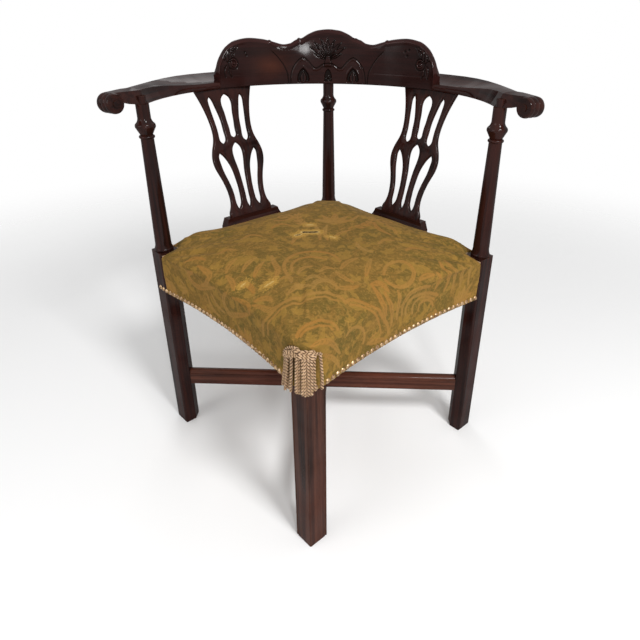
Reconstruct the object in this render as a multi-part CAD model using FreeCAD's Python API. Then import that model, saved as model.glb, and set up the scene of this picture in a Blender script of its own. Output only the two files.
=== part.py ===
import FreeCAD, Part
import math
import os
from FreeCAD import Vector

# Corner chair: a square seat set as a diamond, with a leg at each corner.
# Millimetres, Z up, origin on the floor under the middle of the seat.
# The front corner points to -Y, the arms curve round the back from left to right.

# Seat frame
seat_side = 480.0
leg_side = 40.0
leg_bead = 3.0
leg_quirk = 1.5
leg_inner_chamfer = 16.0
rail_top = 420.0
rail_height = 78.0
front_rail_thickness = 34.5
back_rail_thickness = 24.0
front_side_hollow = 14.0
rail_tenon_length = 18.0
rail_tenon_thickness = 8.0
rail_tenon_shoulder = 10.0
rail_tenon_setback = 6.0
corner_block_height = 45.0
corner_block_reach = 62.0
screw_radius = 2.0
screw_head_radius = 4.0
screw_head_length = 3.0
screw_in_block = 14.0
screw_bite = 12.0

# Crossed stretchers
stretcher_bottom = 100.0
stretcher_height = 34.0
stretcher_thickness = 22.0
stretcher_round = 8.0
stretcher_step = 1.5
stretcher_tenon_thickness = 9.0
stretcher_tenon_length = 16.0
stretcher_tenon_shoulder = 6.0
stretcher_tenon_root = 6.0

# Turned posts, which grow out of the three tall legs
block_rise = 3.0
post_offset = 2.0
base_bead_radius = 18.4
base_bead_height = 6.0
base_bead_edge = 1.0
cove_height = 14.0
cove_middle = 0.45
cove_flare = 0.2
shaft_foot_radius = 15.6
shaft_head_radius = 11.8
shaft_end_drop = 60.0
ring_radius = 14.2
ring_height = 6.0
cup_radius = 10.8
knop_radius = 18.3
knop_drop = 38.0
knop_half_height = 4.0
knop_edge = 1.3
neck_radius = 11.8
neck_length = 22.0
neck_flare = 1.8
neck_flare_rise = 8.0
post_tenon_radius = 8.0
post_tenon_length = 14.0

# Arms, which meet in a half lap at the back
arm_underside = 702.0
arm_overhang = 12.6
arm_width_back = 56.0
arm_width_post = 43.0
arm_inner_rise_back = 13.0
arm_inner_rise_post = 22.0
arm_outer_rise_back = 28.0
arm_outer_rise_post = 25.0
arm_dish = 2.5
# By the posts the inner face is scooped out under a narrow rounded ridge
arm_scoop = 13.0
arm_scoop_hollow = 0.8
arm_scoop_start = 62.0
arm_scoop_end = 78.0
arm_scoop_at_scroll = 4.0
arm_ridge_crown = 1.5
arm_edge = 3.0
arm_lap_drop = 2.0
arm_lap_angle = 6.0
arm_station_step = 6.0
arm_taper_start = 54.0
arm_taper_end = 84.0
arm_turn_start = 8.0
arm_bow = 2.0
# The turn outward past the post: share of the way, heading from square to the side
arm_turn = [(0.0, 4.0), (0.25, 22.0), (0.5, 36.0), (0.75, 37.0)]
arm_thinning_start = 0.25
scroll_radius = 17.0
scroll_length = 31.0
scroll_axis_rise = 5.5
scroll_out = 41.0
scroll_neck_rise = 10.0
scroll_forward = 34.0
scroll_heading = 32.0
scroll_reeds = 3
scroll_reed_depth = 1.2
scroll_eye_radius = 6.0
scroll_eye_height = 1.5

# Crest rail, which stands on the back of the arms
crest_overhang = 1.0
crest_lip_thickness = 6.0
crest_bottom_rise = 1.5
crest_lean = 6.0
crest_top_thickness = 15.0
crest_foot_depth = 37.5
crest_end_foot_depth = 21.5
crest_foot_taper_start = 36.0
crest_foot_rise = 24.0
crest_round = 7.0
crest_round_share = 0.6
crest_back_shoulder = 2.0
# The outline of the crest: angle from the back, rise of its top edge above the arm's underside
crest_outline = [
    (0.0, 111.0), (4.2, 108.8), (7.8, 102.0), (10.7, 93.5), (13.1, 90.0), (15.4, 83.5),
    (18.0, 81.5), (22.0, 86.5), (26.8, 92.7), (32.3, 95.3), (38.0, 91.0), (42.0, 80.0),
    (44.5, 66.0), (46.5, 48.0), (47.2, 33.0),
]
crest_screw_angles = [-38.0, -15.0, 15.0, 38.0]
crest_screw_depth = 25.5
crest_screw_length = 46.0

# Splats and the shoes that hold them
splat_thickness = 8.5
splat_set_back = 12.0
splat_head_set = 6.8
splat_tenon_down = 14.0
splat_tenon_up = 8.0
splat_tenon_inset = 4.0
splat_head_tenon_inset = 12.0
splat_tenon_root = 8.0
splat_foot_half = 54.0
splat_ankle_half = 45.5
splat_belly_half = 63.5
splat_waist_half = 49.2
splat_head_half = 70.0
shoe_half = 73.0
shoe_height = 26.0
shoe_end_slope = 7.0
shoe_end_drop = 3.0
shoe_set_back = 5.5
shoe_overhang = 3.0
shoe_cove = 6.0
shoe_cove_depth_share = 0.72
shoe_cove_rise_share = 0.38
shoe_lip = 11.0

# Upholstery
cover_thickness = 2.2
soft_gap = 0.3
cover_drop = 4.0
seat_crown_rise = 36.0
seat_crown_bands = 9
seat_crown_power = 2.0
seat_edge_rise = 6.0
seat_bulge = -6.0
seat_flat_front = 90.0
seat_front_power = 1.6
seat_flat_back = 80.0
seat_back_power = 1.25
# The skirts' swell: drop below the rails' top, front and back insets
seat_skirt = [(30.0, -1.0, 0.0), (10.0, -3.5, -0.5)]
# Level with the rails' top: the front's inset and its corner's rounding
rail_edge_bulge = -5.0
rail_edge_round = 22.0
seat_corner_round = 12.0
seat_top_round = {"front": 45.0, "right": 135.0, "back": 50.0, "left": 135.0}
seat_round_start = 0.75
seat_round_rate = 3.0
seat_round_fade = 0.5
web_thickness = 1.5
web_width = 50.0
web_count = 3
web_pitch = 95.0
web_bearing = 16.0
hessian_thickness = 1.0
nail_radius = 4.8
nail_dome = 3.0
nail_pitch = 12.0
nail_rise = 6.0
nail_clearance = 1.0

# Tassel on the front corner
tassel_strands = 11
tassel_half_width = 30.0
tassel_layer = 5.0
strand_radius = 3.4
strand_rise = 4.0
knot_drop = 8.0
strand_drop = 3.0
knot_radius = 7.0
knot_sink = 2.0
tassel_press = 1.2

half = seat_side / 2
corner_reach = seat_side / math.sqrt(2)
leg_axis = corner_reach - leg_side / math.sqrt(2)
post_axis = leg_axis + post_offset
block_top = rail_top + block_rise
shaft_top = arm_underside - shaft_end_drop
knop_height = arm_underside - knop_drop
neck_start = arm_underside - neck_length
neck_top = arm_underside
rail_outer = half - cover_thickness - soft_gap
front_rail_inner = rail_outer - front_rail_thickness
back_rail_inner = rail_outer - back_rail_thickness
leg_inner = half - leg_side
arm_inner_radius = post_axis - arm_overhang
arm_outer_top_back = arm_underside + arm_outer_rise_back
scroll_axis_height = arm_underside + scroll_axis_rise
scroll_reach = post_axis + scroll_out
crest_front_radius = arm_inner_radius - crest_overhang
crest_bottom = arm_underside + crest_bottom_rise
crest_foot_top = arm_underside + crest_foot_rise
shoe_front = back_rail_inner + shoe_set_back
shoe_back = half + shoe_overhang
splat_front_at_base = shoe_front + splat_set_back
splat_base_height = rail_top + shoe_height
splat_rise = arm_underside - splat_base_height
splat_reach = arm_inner_radius + splat_head_set - splat_front_at_base
splat_lean = math.degrees(math.atan(splat_reach / splat_rise))
cover_bottom = rail_top - rail_height - cover_drop
seat_crown = rail_top + seat_crown_rise
seat_front_run = half - seat_flat_front
seat_back_run = half - seat_flat_back
strand_bottom = cover_bottom + strand_rise
strand_top = rail_top - knot_drop
stretcher_reach = leg_axis - (leg_side - leg_inner_chamfer) / math.sqrt(2)
lap_height = (arm_underside + arm_outer_top_back) / 2 - arm_lap_drop
web_floor = rail_top
hessian_floor = web_floor + 2 * web_thickness
stuffing_floor = hessian_floor + hessian_thickness + soft_gap
tassel_stand_off = soft_gap - seat_bulge - tassel_press

# Turns that carry a piece from its own frame to its place on the chair
side_turn = {"back_left": 45.0, "back_right": -45.0, "front_left": 135.0, "front_right": -135.0}
corner_turn = {"right": 0.0, "back": 90.0, "left": 180.0, "front": -90.0}
Z_AXIS = Vector(0, 0, 1)
ORIGIN = Vector(0, 0, 0)


def line(a, b):
    return Part.LineSegment(a, b).toShape()


def arc(a, mid, b):
    return Part.Arc(a, mid, b).toShape()


def loop(points):
    return Part.Wire([line(points[i], points[(i + 1) % len(points)]) for i in range(len(points))])


def prism(points, height):
    return Part.Face(loop(points)).extrude(Vector(0, 0, height))


def block(x0, y0, z0, x1, y1, z1):
    return Part.makeBox(x1 - x0, y1 - y0, z1 - z0, Vector(x0, y0, z0))


def turned(shape, degrees):
    result = shape.copy()
    result.rotate(ORIGIN, Z_AXIS, degrees)
    return result


def mirrored(shape):
    return shape.mirror(ORIGIN, Vector(1, 0, 0))


def fused(shapes):
    result = shapes[0]
    for shape in shapes[1:]:
        result = result.fuse(shape)
    return result.removeSplitter()


def largest(shape):
    return max(shape.Solids, key=lambda solid: solid.Volume)


def polar(radius, degrees_from_back, z):
    a = math.radians(degrees_from_back)
    return Vector(radius * math.sin(a), radius * math.cos(a), z)


# Legs and posts

def leg_section(z):
    """Square with a beaded edge at both ends of the two outer faces, centred on the origin."""
    s = leg_side / 2
    b = leg_bead
    q = leg_quirk
    c = b * (1 - 1 / math.sqrt(2))
    flat = s - b - 2 * q
    return Part.Wire([
        line(Vector(-s, -s, z), Vector(s - b, -s, z)),
        arc(Vector(s - b, -s, z), Vector(s - c, -s + c, z), Vector(s, -s + b, z)),
        line(Vector(s, -s + b, z), Vector(s - q, -s + b + q, z)),
        line(Vector(s - q, -s + b + q, z), Vector(s, -flat, z)),
        line(Vector(s, -flat, z), Vector(s, s - q, z)),
        line(Vector(s, s - q, z), Vector(s - q, s, z)),
        line(Vector(s - q, s, z), Vector(-flat, s, z)),
        line(Vector(-flat, s, z), Vector(-s + b + q, s - q, z)),
        line(Vector(-s + b + q, s - q, z), Vector(-s + b, s, z)),
        arc(Vector(-s + b, s, z), Vector(-s + c, s - c, z), Vector(-s, s - b, z)),
        line(Vector(-s, s - b, z), Vector(-s, -s, z)),
    ])


def leg_stock(top):
    """Leg with its outer corner on +X, its inner corner chamfered below the rails."""
    leg = Part.Face(leg_section(0)).extrude(Vector(0, 0, top))
    s = leg_side / 2
    c = leg_inner_chamfer
    chamfer = prism([Vector(-s, -s, 0), Vector(-s + c, -s, 0), Vector(-s, -s + c, 0)], cover_bottom)
    leg = leg.cut(chamfer)
    leg.rotate(ORIGIN, Z_AXIS, -45)
    leg.translate(Vector(leg_axis, 0, 0))
    return leg


def post():
    """Turned post with its tenon, as a profile spun round the leg's axis."""
    def at(r, z):
        return Vector(r, 0, z)
    cove_foot = block_top + base_bead_height
    cove_top = cove_foot + cove_height
    cup_foot = shaft_top + ring_height
    knop_rim = knop_radius - knop_edge
    bead_rim = base_bead_radius - base_bead_edge
    profile = Part.Wire([
        line(at(0, block_top), at(bead_rim, block_top)),
        arc(at(bead_rim, block_top), at(base_bead_radius, block_top + base_bead_height / 2),
            at(bead_rim, cove_foot)),
        arc(at(bead_rim, cove_foot),
            at(shaft_foot_radius + cove_flare, cove_foot + cove_height * cove_middle),
            at(shaft_foot_radius, cove_top)),
        line(at(shaft_foot_radius, cove_top), at(shaft_head_radius, shaft_top)),
        arc(at(shaft_head_radius, shaft_top), at(ring_radius, shaft_top + ring_height / 2),
            at(cup_radius, cup_foot)),
        line(at(cup_radius, cup_foot), at(knop_rim, knop_height - knop_half_height)),
        arc(at(knop_rim, knop_height - knop_half_height), at(knop_radius, knop_height),
            at(knop_rim, knop_height + knop_half_height)),
        arc(at(knop_rim, knop_height + knop_half_height),
            at(neck_radius + neck_flare, knop_height + neck_flare_rise),
            at(neck_radius, neck_start)),
        line(at(neck_radius, neck_start), at(neck_radius, neck_top)),
        line(at(neck_radius, neck_top), at(post_tenon_radius, neck_top)),
        line(at(post_tenon_radius, neck_top), at(post_tenon_radius, neck_top + post_tenon_length)),
        line(at(post_tenon_radius, neck_top + post_tenon_length), at(0, neck_top + post_tenon_length)),
        line(at(0, neck_top + post_tenon_length), at(0, block_top)),
    ])
    shape = Part.Face(profile).revolve(ORIGIN, Z_AXIS, 360)
    shape.translate(Vector(post_axis, 0, 0))
    return shape


def post_mortise(corner):
    hole = Part.makeCylinder(post_tenon_radius, post_tenon_length, Vector(post_axis, 0, neck_top))
    return turned(hole, corner_turn[corner])


def rail_tenons(side):
    """The two tenons of one rail, in the side's frame: X along the side, Y outward."""
    y0 = rail_outer - rail_tenon_thickness - rail_tenon_setback
    z0 = rail_top - rail_height + rail_tenon_shoulder
    z1 = rail_top - rail_tenon_shoulder
    left = block(-leg_inner - rail_tenon_length, y0, z0, -leg_inner, y0 + rail_tenon_thickness, z1)
    right = block(leg_inner, y0, z0, leg_inner + rail_tenon_length, y0 + rail_tenon_thickness, z1)
    return [turned(left, side_turn[side]), turned(right, side_turn[side])]


def stretcher_tenons(turn):
    reach = stretcher_reach
    w = stretcher_tenon_thickness / 2
    z0 = stretcher_bottom + stretcher_tenon_shoulder
    z1 = stretcher_bottom + stretcher_height - stretcher_round - stretcher_tenon_shoulder / 2
    far = reach + stretcher_tenon_length
    right = block(reach - stretcher_tenon_root, -w, z0, far, w, z1)
    left = block(-far, -w, z0, -reach + stretcher_tenon_root, w, z1)
    return [turned(right, turn), turned(left, turn)]


def tall_leg(corner):
    return turned(fused([leg_stock(block_top), post()]), corner_turn[corner])


def short_leg():
    """The front leg stops at the rails, and is set back where the cover passes over it."""
    leg = turned(leg_stock(rail_top), corner_turn["front"])
    inset = half - rail_outer
    square = dict.fromkeys(seat_top_round, seat_corner_round)
    plan = seat_outline(cover_bottom, inset, inset, front_side_hollow, square)
    covered = leg.common(Part.Face(plan).extrude(Vector(0, 0, rail_top - cover_bottom)))
    shown = leg.common(block(-seat_side, -seat_side, 0, seat_side, seat_side, cover_bottom))
    return fused([shown, covered])


def make_legs():
    legs = {"front": short_leg()}
    for corner in ("left", "right", "back"):
        legs[corner] = tall_leg(corner)
    joints = []
    for side in side_turn:
        joints += rail_tenons(side)
    joints += stretcher_tenons(0) + stretcher_tenons(90)
    for corner in legs:
        for tenon in joints:
            legs[corner] = legs[corner].cut(tenon)
    return legs


# Seat rails, corner blocks and screws

def screw_hole(side, x):
    """Screw through a corner block into a rail, pointing outward in the side's frame."""
    inner = rail_inner(side)
    z = rail_top - rail_height / 2
    start = inner - screw_in_block
    head = Part.makeCylinder(screw_head_radius, screw_head_length, Vector(x, start, z), Vector(0, 1, 0))
    length = screw_in_block + screw_bite
    shank = Part.makeCylinder(screw_radius, length, Vector(x, start, z), Vector(0, 1, 0))
    return turned(fused([head, shank]), side_turn[side])


def rail_inner(side):
    if side.startswith("front"):
        return front_rail_inner
    return back_rail_inner


def make_screws():
    x = leg_inner - corner_block_reach / 2
    return [screw_hole(side, sign * x) for side in side_turn for sign in (-1, 1)]


def make_rail(side, screws):
    inner = rail_inner(side)
    hollow = front_side_hollow if side.startswith("front") else 0.0
    a = Vector(-leg_inner, rail_outer, rail_top - rail_height)
    b = Vector(leg_inner, rail_outer, rail_top - rail_height)
    c = Vector(leg_inner, inner, rail_top - rail_height)
    d = Vector(-leg_inner, inner, rail_top - rail_height)
    if hollow:
        face_edge = arc(a, Vector(0, rail_outer - hollow, a.z), b)
    else:
        face_edge = line(a, b)
    wire = Part.Wire([face_edge, line(b, c), line(c, d), line(d, a)])
    rail = Part.Face(wire).extrude(Vector(0, 0, rail_height))
    rail = fused([turned(rail, side_turn[side])] + rail_tenons(side))
    for screw in screws:
        rail = rail.cut(screw)
    return rail


def make_corner_block(corner, screws):
    """Block that fills the corner between two rails and the leg."""
    sides = {"front": ("front_left", "front_right"), "right": ("front_right", "back_right"),
             "back": ("back_right", "back_left"), "left": ("back_left", "front_left")}[corner]
    axis_a = turned(Part.Vertex(Vector(0, 1, 0)), side_turn[sides[0]]).Point
    axis_b = turned(Part.Vertex(Vector(0, 1, 0)), side_turn[sides[1]]).Point
    near_a = rail_inner(sides[0])
    near_b = rail_inner(sides[1])
    back_off = leg_inner - corner_block_reach

    def at(a, b):
        p = axis_a * a + axis_b * b
        return Vector(p.x, p.y, rail_top - rail_height / 2 - corner_block_height / 2)

    points = [at(near_a, back_off), at(near_a, leg_inner), at(leg_inner, leg_inner),
              at(leg_inner, near_b), at(back_off, near_b)]
    shape = prism(points, corner_block_height)
    for screw in screws:
        shape = shape.cut(screw)
    return shape


# Crossed stretchers

def stretcher_stock():
    w = stretcher_thickness / 2
    n = w - stretcher_step
    z0 = stretcher_bottom
    z1 = z0 + stretcher_height - stretcher_round
    top = z0 + stretcher_height
    reach = leg_axis
    x = -reach
    wire = Part.Wire([
        line(Vector(x, -w, z0), Vector(x, w, z0)),
        line(Vector(x, w, z0), Vector(x, w, z1)),
        line(Vector(x, w, z1), Vector(x, n, z1)),
        arc(Vector(x, n, z1), Vector(x, 0, top), Vector(x, -n, z1)),
        line(Vector(x, -n, z1), Vector(x, -w, z1)),
        line(Vector(x, -w, z1), Vector(x, -w, z0)),
    ])
    return Part.Face(wire).extrude(Vector(2 * reach, 0, 0))


def make_stretcher(turn, legs_on_it, keeps_top):
    w = stretcher_thickness / 2
    middle = stretcher_bottom + stretcher_height / 2
    top = stretcher_bottom + stretcher_height
    if keeps_top:
        lap = block(-w, -seat_side, stretcher_bottom, w, seat_side, middle)
    else:
        lap = block(-w, -seat_side, middle, w, seat_side, top)
    bar = turned(stretcher_stock().cut(lap), turn)
    for corner in legs_on_it:
        bar = bar.cut(turned(leg_stock(block_top), corner_turn[corner]))
    return fused([largest(bar)] + stretcher_tenons(turn))


# Arms

def arm_section(inner, outward, width, scoop, under, inner_top, outer_top):
    """Section square to the arm: flat below, dished on top, with both edges rounded."""
    edge = arm_edge
    ridge = edge + scoop
    dish = blend(arm_dish * (width / arm_width_back) ** 2, -arm_ridge_crown, scoop / arm_scoop)

    def at(across, z):
        return Vector(inner.x + outward.x * across, inner.y + outward.y * across, z)

    middle_top = (inner_top + outer_top) / 2 - dish
    return Part.Wire([
        line(at(edge, under), at(width - 2 * edge, under)),
        arc(at(width - 2 * edge, under), at(width, (under + outer_top) / 2), at(width - edge, outer_top)),
        arc(at(width - edge, outer_top), at((width + scoop) / 2, middle_top), at(ridge, inner_top)),
        arc(at(ridge, inner_top), at(scoop * arm_scoop_hollow, (under + inner_top) / 2), at(edge, under)),
    ])


def blend(start, end, share):
    return start + (end - start) * share


def eased(value, start, end):
    share = min(max((value - start) / (end - start), 0.0), 1.0)
    return share * share * (3 - 2 * share)


def arm_stock():
    """Right arm from the back lap to the scroll, as sections round the seat and then outward."""
    sections = []
    angle = -arm_lap_angle
    while angle < 90.0 - arm_station_step / 2:
        share = eased(angle, arm_taper_start, arm_taper_end)
        outward = polar(1, angle, 0)
        sections.append(arm_section(
            polar(arm_inner_radius, angle, 0), outward,
            blend(arm_width_back, arm_width_post, share),
            arm_scoop * eased(angle, arm_scoop_start, arm_scoop_end), arm_underside,
            arm_underside + blend(arm_inner_rise_back, arm_inner_rise_post, share),
            arm_underside + blend(arm_outer_rise_back, arm_outer_rise_post, share)))
        angle += arm_station_step
    # Past the post the arm turns outward, thins and rises on to the scroll
    end = Vector(scroll_reach, -scroll_forward, 0)
    start = Vector(arm_inner_radius + arm_width_post / 2, arm_turn_start, 0)
    scroll_rise = scroll_axis_rise + scroll_radius
    for share, heading in arm_turn + [(1.0, scroll_heading)]:
        a = math.radians(heading)
        outward = Vector(math.cos(a), math.sin(a), 0)
        middle = Vector(blend(start.x, end.x, share), blend(start.y, end.y, share), 0)
        middle.x += arm_bow * math.sin(math.pi * share)
        thinning = eased(share, arm_thinning_start, 1.0)
        width = blend(arm_width_post, scroll_length, thinning)
        sections.append(arm_section(
            middle - outward * (width / 2), outward, width,
            blend(arm_scoop, arm_scoop_at_scroll, share),
            arm_underside + scroll_neck_rise * thinning,
            arm_underside + blend(arm_inner_rise_post, scroll_rise, share),
            arm_underside + blend(arm_outer_rise_post, scroll_rise, share)))
    return Part.makeLoft(sections, True, True)


def scroll():
    """Reeded roll under the end of the arm, with a raised eye on both ends."""
    reed = scroll_length / scroll_reeds
    groove = scroll_radius - scroll_reed_depth
    edges = [line(Vector(0, 0, 0), Vector(groove, 0, 0))]
    for i in range(scroll_reeds):
        a = Vector(groove, 0, i * reed)
        b = Vector(groove, 0, (i + 1) * reed)
        edges.append(arc(a, Vector(scroll_radius, 0, (i + 0.5) * reed), b))
    edges.append(line(Vector(groove, 0, scroll_length), Vector(0, 0, scroll_length)))
    edges.append(line(Vector(0, 0, scroll_length), Vector(0, 0, 0)))
    roll = Part.Face(Part.Wire(edges)).revolve(ORIGIN, Z_AXIS, 360)
    eye = Part.makeCylinder(scroll_eye_radius, scroll_length + 2 * scroll_eye_height,
                            Vector(0, 0, -scroll_eye_height))
    roll = fused([roll, eye])
    roll.translate(Vector(0, 0, -scroll_length / 2))
    roll.rotate(ORIGIN, Vector(0, 1, 0), 90)
    roll.rotate(ORIGIN, Z_AXIS, scroll_heading)
    roll.translate(Vector(scroll_reach, -scroll_forward, scroll_axis_height))
    return roll


def sector(radius, from_angle, to_angle, z0, z1):
    """Slice of a disc about the chair's axis, used to cut laps and housings."""
    middle = (from_angle + to_angle) / 2
    wire = Part.Wire([
        line(Vector(0, 0, z0), polar(radius, from_angle, z0)),
        arc(polar(radius, from_angle, z0), polar(radius, middle, z0), polar(radius, to_angle, z0)),
        line(polar(radius, to_angle, z0), Vector(0, 0, z0)),
    ])
    return Part.Face(wire).extrude(Vector(0, 0, z1 - z0))


def make_arms(splat_tenons):
    stock = fused([arm_stock(), scroll()])
    far = arm_inner_radius + 2 * arm_width_back
    lip = crest_front_radius + crest_lip_thickness
    end = crest_outline[-1][0]
    low_lap = sector(far, -2 * arm_lap_angle, arm_lap_angle, arm_underside - 10, lap_height)
    high_lap = sector(far, -2 * arm_lap_angle, arm_lap_angle, lap_height, arm_outer_top_back + 10)
    housing = sector(lip, -end, end, arm_underside - 1, arm_outer_top_back + 10)
    right = stock.cut(low_lap).cut(housing)
    left = mirrored(stock.cut(high_lap).cut(housing))
    cuts = [post_mortise(corner) for corner in ("left", "right", "back")] + splat_tenons
    cuts += crest_screw_shapes()
    for cut in cuts:
        right = right.cut(cut)
        left = left.cut(cut)
    return left, right


# Crest rail

def crest_screw_shapes():
    shapes = []
    for angle in crest_screw_angles:
        foot = polar(arm_inner_radius + crest_screw_depth, angle, arm_underside)
        head = Part.makeCylinder(screw_head_radius, screw_head_length, foot)
        shank = Part.makeCylinder(screw_radius, crest_screw_length, foot)
        shapes.append(fused([head, shank]))
    return shapes


def crest_section(angle, top):
    def at(radius, z):
        return polar(radius, angle, z)
    highest = arm_underside + crest_outline[0][1]
    share = (top - crest_foot_top) / (highest - crest_foot_top)
    front = crest_front_radius
    front_top = front + crest_lean * share
    back_top = front_top + crest_top_thickness
    shoulder = top - min(crest_round, (top - crest_foot_top) * crest_round_share)
    past = max(abs(angle) - crest_foot_taper_start, 0.0) / (crest_outline[-1][0] - crest_foot_taper_start)
    foot = arm_inner_radius + blend(crest_foot_depth, crest_end_foot_depth, past)
    back_shoulder = min(back_top, foot - crest_back_shoulder)
    return Part.Wire([
        line(at(front, crest_bottom), at(front_top, shoulder)),
        arc(at(front_top, shoulder), at((front_top + back_shoulder) / 2, top), at(back_shoulder, shoulder)),
        line(at(back_shoulder, shoulder), at(foot, crest_foot_top)),
        line(at(foot, crest_foot_top), at(foot, crest_bottom)),
        line(at(foot, crest_bottom), at(front, crest_bottom)),
    ])


def make_crest(arms):
    stations = [(-angle, rise) for angle, rise in reversed(crest_outline[1:])] + crest_outline
    sections = [crest_section(angle, arm_underside + rise) for angle, rise in stations]
    crest = Part.makeLoft(sections, True, True)
    for shape in list(arms) + [post_mortise("back")] + crest_screw_shapes():
        crest = crest.cut(shape)
    return largest(crest)


# Splats and shoes

def smooth_edge(points):
    curve = Part.BSplineCurve()
    curve.interpolate([Vector(x, 0, z) for x, z in points])
    return curve.toShape()


def splat_face(height):
    """Outline of the splat in the XZ plane, from z = 0 at the shoe to its head."""
    swell = splat_belly_half - splat_ankle_half
    flare = splat_head_half - splat_waist_half
    foot_in = blend(splat_foot_half, splat_ankle_half, 0.47)
    belly_out = blend(splat_belly_half, splat_waist_half, 0.355)
    right = [(splat_foot_half, 0), (splat_foot_half + 0.5, 0.030 * height),
             (foot_in, 0.067 * height), (splat_ankle_half, 0.135 * height),
             (splat_ankle_half + 0.08 * swell, 0.217 * height),
             (splat_ankle_half + 0.53 * swell, 0.329 * height),
             (splat_ankle_half + 0.92 * swell, 0.404 * height),
             (splat_belly_half, 0.487 * height), (belly_out, 0.554 * height)]
    right_upper = [(belly_out, 0.554 * height), (splat_waist_half + 0.06 * flare, 0.633 * height),
                   (splat_waist_half, 0.674 * height), (splat_waist_half + 0.06 * flare, 0.749 * height),
                   (splat_waist_half + 0.24 * flare, 0.824 * height),
                   (splat_waist_half + 0.51 * flare, 0.899 * height), (splat_head_half, height)]
    left = [(-x, z) for x, z in right]
    left_upper = [(-x, z) for x, z in right_upper]
    wire = Part.Wire([
        line(Vector(-splat_foot_half, 0, 0), Vector(splat_foot_half, 0, 0)),
        smooth_edge(right),
        smooth_edge(right_upper),
        line(Vector(splat_head_half, 0, height), Vector(-splat_head_half, 0, height)),
        smooth_edge(list(reversed(left_upper))),
        smooth_edge(list(reversed(left))),
    ])
    return Part.Face(wire)


def opening(one_side, other_side):
    """Closed opening from two curves that share their bottom and top points."""
    height = splat_length()
    one_side = [(x, share * height) for x, share in one_side]
    other_side = [(x, share * height) for x, share in other_side]
    wire = Part.Wire([smooth_edge(one_side), smooth_edge(list(reversed(other_side)))])
    return Part.Face(wire)


def splat_openings():
    outer_low = [(28, 0.052), (32, 0.094), (32.7, 0.150), (34.5, 0.225), (39.2, 0.300),
                 (44.7, 0.374), (47.6, 0.449), (47.5, 0.490), (44, 0.515)]
    inner_low = [(28, 0.052), (20.5, 0.094), (18.4, 0.150), (18.2, 0.225), (20, 0.300),
                 (23.1, 0.374), (30.7, 0.449), (37.6, 0.490), (44, 0.515)]
    outer_high = [(29.5, 0.582), (34.5, 0.599), (36.4, 0.655), (38, 0.749), (40.4, 0.824),
                  (42.3, 0.891), (41.5, 0.929), (37.5, 0.947)]
    inner_high = [(29.5, 0.582), (23.5, 0.599), (21.8, 0.666), (22.8, 0.749), (26.4, 0.824),
                  (31, 0.891), (34, 0.925), (37.5, 0.947)]
    centre_low = [(0, 0.049), (4.3, 0.094), (4.7, 0.150), (5.2, 0.225), (6.2, 0.300), (8.1, 0.374),
                  (11.3, 0.445), (12.3, 0.487), (10.8, 0.532), (5.6, 0.562), (0, 0.579)]
    centre_high = [(0, 0.621), (5.5, 0.632), (7, 0.674), (8.7, 0.749), (10.3, 0.824), (12.4, 0.895),
                   (9, 0.932), (0, 0.957)]
    faces = []
    for outer, inner in ((outer_low, inner_low), (outer_high, inner_high)):
        faces.append(opening(outer, inner))
        faces.append(opening([(-x, z) for x, z in outer], [(-x, z) for x, z in inner]))
    for side in (centre_low, centre_high):
        faces.append(opening(side, [(-x, z) for x, z in side]))
    return faces


def splat_place(shape):
    """From the XZ plane to the leaning plane over the shoe, in the side's frame."""
    shape.rotate(ORIGIN, Vector(1, 0, 0), -splat_lean)
    shape.translate(Vector(0, splat_front_at_base, splat_base_height))
    return shape


def splat_length():
    return splat_rise / math.cos(math.radians(splat_lean))


def splat_parts():
    """Splat with tenons, and its two tenons alone, in the side's frame."""
    lean = math.radians(splat_lean)
    height = splat_length()
    thick = Vector(0, splat_thickness, 0)
    board = splat_face(height + splat_thickness * math.tan(lean)).extrude(thick)
    for face in splat_openings():
        board = board.cut(face.extrude(thick))
    foot = splat_foot_half - splat_tenon_inset
    head = splat_head_half - splat_head_tenon_inset
    root = splat_tenon_root
    down = block(-foot, 0, -splat_tenon_down, foot, splat_thickness, root)
    up = block(-head, 0, height - root, head, splat_thickness, height + splat_tenon_up)
    return splat_place(board), splat_place(down), splat_place(up)


def make_splat(side):
    """Board trimmed level at the shoe and at the arm, then given its tenons."""
    board, down, up = splat_parts()
    ends = block(-seat_side, 0, splat_base_height, seat_side, seat_side, arm_underside)
    board = board.common(ends)
    low = down.common(block(-seat_side, 0, 0, seat_side, seat_side, splat_base_height))
    high = up.common(block(-seat_side, 0, arm_underside, seat_side, seat_side, seat_side * 2))
    splat = fused([board, low, high])
    return turned(splat, side_turn[side]), turned(high, side_turn[side]), turned(low, side_turn[side])


def make_shoe(side, tenon):
    """Moulded shoe on the rail: upright lip, cove, level top and sloping ends."""
    x = -shoe_half
    top = splat_base_height
    cove_y = shoe_front + shoe_cove
    lip = rail_top + shoe_lip
    mid = Vector(x, shoe_front + shoe_cove * shoe_cove_depth_share,
                 lip + (top - lip) * shoe_cove_rise_share)
    wire = Part.Wire([
        line(Vector(x, shoe_front, rail_top), Vector(x, shoe_back, rail_top)),
        line(Vector(x, shoe_back, rail_top), Vector(x, shoe_back, top)),
        line(Vector(x, shoe_back, top), Vector(x, cove_y, top)),
        arc(Vector(x, cove_y, top), mid, Vector(x, shoe_front, lip)),
        line(Vector(x, shoe_front, lip), Vector(x, shoe_front, rail_top)),
    ])
    shoe = Part.Face(wire).extrude(Vector(2 * shoe_half, 0, 0))
    profile = prism_y([(-shoe_half, rail_top), (shoe_half, rail_top), (shoe_half, lip - shoe_end_drop),
                       (shoe_half - shoe_end_slope, top), (-shoe_half + shoe_end_slope, top),
                       (-shoe_half, lip - shoe_end_drop)])
    return turned(shoe.common(profile), side_turn[side]).cut(tenon)


def prism_y(points):
    face = Part.Face(loop([Vector(x, 0, z) for x, z in points]))
    return face.extrude(Vector(0, seat_side, 0))


# Upholstery

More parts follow.
